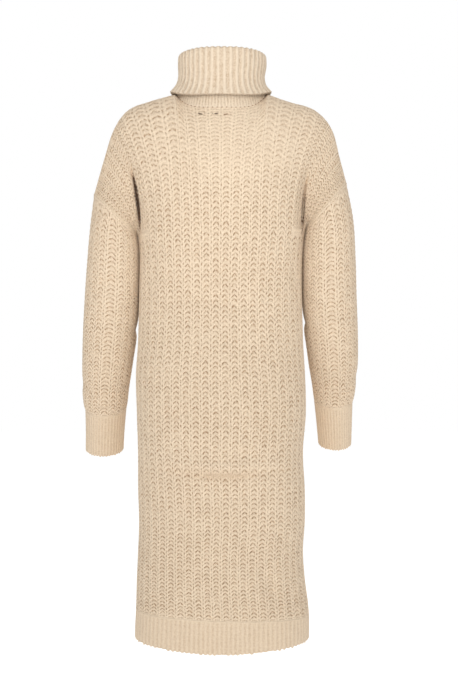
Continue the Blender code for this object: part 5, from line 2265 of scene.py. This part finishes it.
class Cut(NamedTuple):
    """The flat size of a piece of cloth before it is sewn: width, length, and area where it isn't a rectangle."""

    width: float
    length: float
    area: float


CUTS = {
    "panel": Cut(0.540, 1.020, 0.455),
    "hem_rib": Cut(0.450, 0.058, 0.0255),
    "sleeve": Cut(0.345, 0.420, 0.125),
    "cuff": Cut(0.250, 0.090, 0.0205),
    "roll_neck": Cut(0.560, 0.235, 0.110),
}


@dataclass
class Dress:
    """The whole dress, piece by piece."""

    pieces: dict[str, Piece] = field(default_factory=dict)  # everything that is made, by the names of the objects
    finishes: dict[str, bpy.types.Material] = field(default_factory=dict)  # the threads' materials
    groups: YarnGroups = field(default_factory=yarn_groups)  # the node groups that the yarns share

    def build(self) -> None:
        body_yarn, sleeve_yarn, rib_yarn, roll_yarn = (
            finish.material(self.groups) for finish in (BODY_YARN, SLEEVE_YARN, RIB_YARN, ROLL_YARN)
        )
        for face in Face:
            name, body = face.name.lower(), Body(face)
            panel = Weaver(BODY_KNIT, 4, 2).panel(name + "_panel_knit", body)
            self.cloth(name + "_panel", panel, body_yarn, "body_knit", CUTS["panel"])
            hem = Weaver(HEM_KNIT, 5, 3).tube("hem_" + name + "_knit", body.hem(HEM_KNIT))
            self.cloth("hem_rib_" + name, hem, rib_yarn, "rib_knit", CUTS["hem_rib"])
        for hand in Hand:
            name, arm = hand.name.lower(), Arm(hand)
            sleeve = Weaver(SLEEVE_KNIT, 4, 2).tube("sleeve_" + name + "_knit", arm.sleeve())
            self.cloth("sleeve_" + name, sleeve, sleeve_yarn, "body_knit", CUTS["sleeve"])
            cuff = Weaver(CUFF_KNIT, 5, 3).tube("cuff_" + name + "_knit", arm.cuff())
            self.cloth("cuff_" + name, cuff, rib_yarn, "rib_knit", CUTS["cuff"])
        self.cloth("roll_neck", self.roll_neck(), roll_yarn, "rib_knit", CUTS["roll_neck"])
        self.threads()

    def threads(self) -> None:
        """Adds the threads that show."""
        seams = Seams()
        points = self.pieces["back_panel_knit"].data.vertices
        places = np.empty(len(points) * 3, np.float32)
        points.foreach_get("co", places)
        cloth = places.reshape(-1, 3).astype(float)
        cloth = cloth[cloth[:, 1] < -TACK_DEPTH]
        # the neck's stitches take the dark brown thread that paints the seam's shadow dots
        for piece, finish in zip(seams.neck(), (SEAM_THREAD_AND_SHADOW, JOIN_THREAD)):
            self.thread(piece, finish)
        for hand in Hand:
            self.thread(seams.armhole(hand), JOIN_THREAD)
        for number, tack in enumerate(TACKS, start=1):
            self.thread(seams.tack(f"tack_{number}", tack, cloth), tack.finish)

    def thread(self, piece: Piece, finish: PlainFinish) -> None:
        """Gives a thread its finish and lets it ride on the dress.

        Args:
            piece: the thread.
            finish: its finish, whose material is made once.
        """
        if finish.name not in self.finishes:
            self.finishes[finish.name] = finish.material()
        piece.data.materials.append(self.finishes[finish.name])
        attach(piece, "root")
        self.pieces[piece.name] = piece

    def cloth(self, node: str, piece: Piece, yarn: bpy.types.Material, slot: str, cut: Cut) -> None:
        """Gives a piece of cloth its yarn and puts it in the place of its solid.

        Args:
            node: the solid's name.
            piece: the cloth.
            yarn: its material.
            slot: the solid's material slot; not used.
            cut: its flat size; not used.
        """
        piece.data.materials.append(yarn)
        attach(piece, "root")
        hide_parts(node)
        self.pieces[piece.name] = piece

    def roll_neck(self) -> Piece:
        """The collar: cords on the face that shows on the roll, a finer band on the face below it.

        Returns:
            The object.
        """
        collar = Collar()
        mesh = ClothMesh("roll_neck_knit", closed=True)
        cords, band = Weaver(ROLL_KNIT, 1, 1), Weaver(BAND_KNIT, 1, 1)
        rows = cords.rows(0, ROLL_KNIT.courses)
        outer = mesh.corners(cords.outer(collar.form(ROLL_KNIT), rows, ROLL_KNIT.columns(), offset=WALL))
        inner = mesh.corners(band.outer(collar.form(BAND_KNIT), rows, BAND_KNIT.columns()))
        mesh.faces.add_grid(outer)
        mesh.faces.add_grid(inner[:, ::-1])
        steps = np.ones(outer.shape[1] - 1, dtype=int)
        mesh.faces.add_strip(inner[0], outer[0], steps)
        mesh.faces.add_strip(inner[-1], outer[-1], steps, turned=True)
        return mesh.build()


def main() -> None:
    """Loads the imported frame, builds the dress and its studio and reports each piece."""
    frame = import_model()
    logging.basicConfig(level=logging.INFO, format="%(name)s %(message)s")
    LOG.info("nodes: %s", ", ".join(sorted(frame["nodes"])))
    dress = Dress()
    dress.build()
    Studio().build()
    for name, piece in dress.pieces.items():
        LOG.info("%s: %d triangles", name, len(piece.data.loops) - 2 * len(piece.data.polygons))


if __name__ == "__main__":
    main()
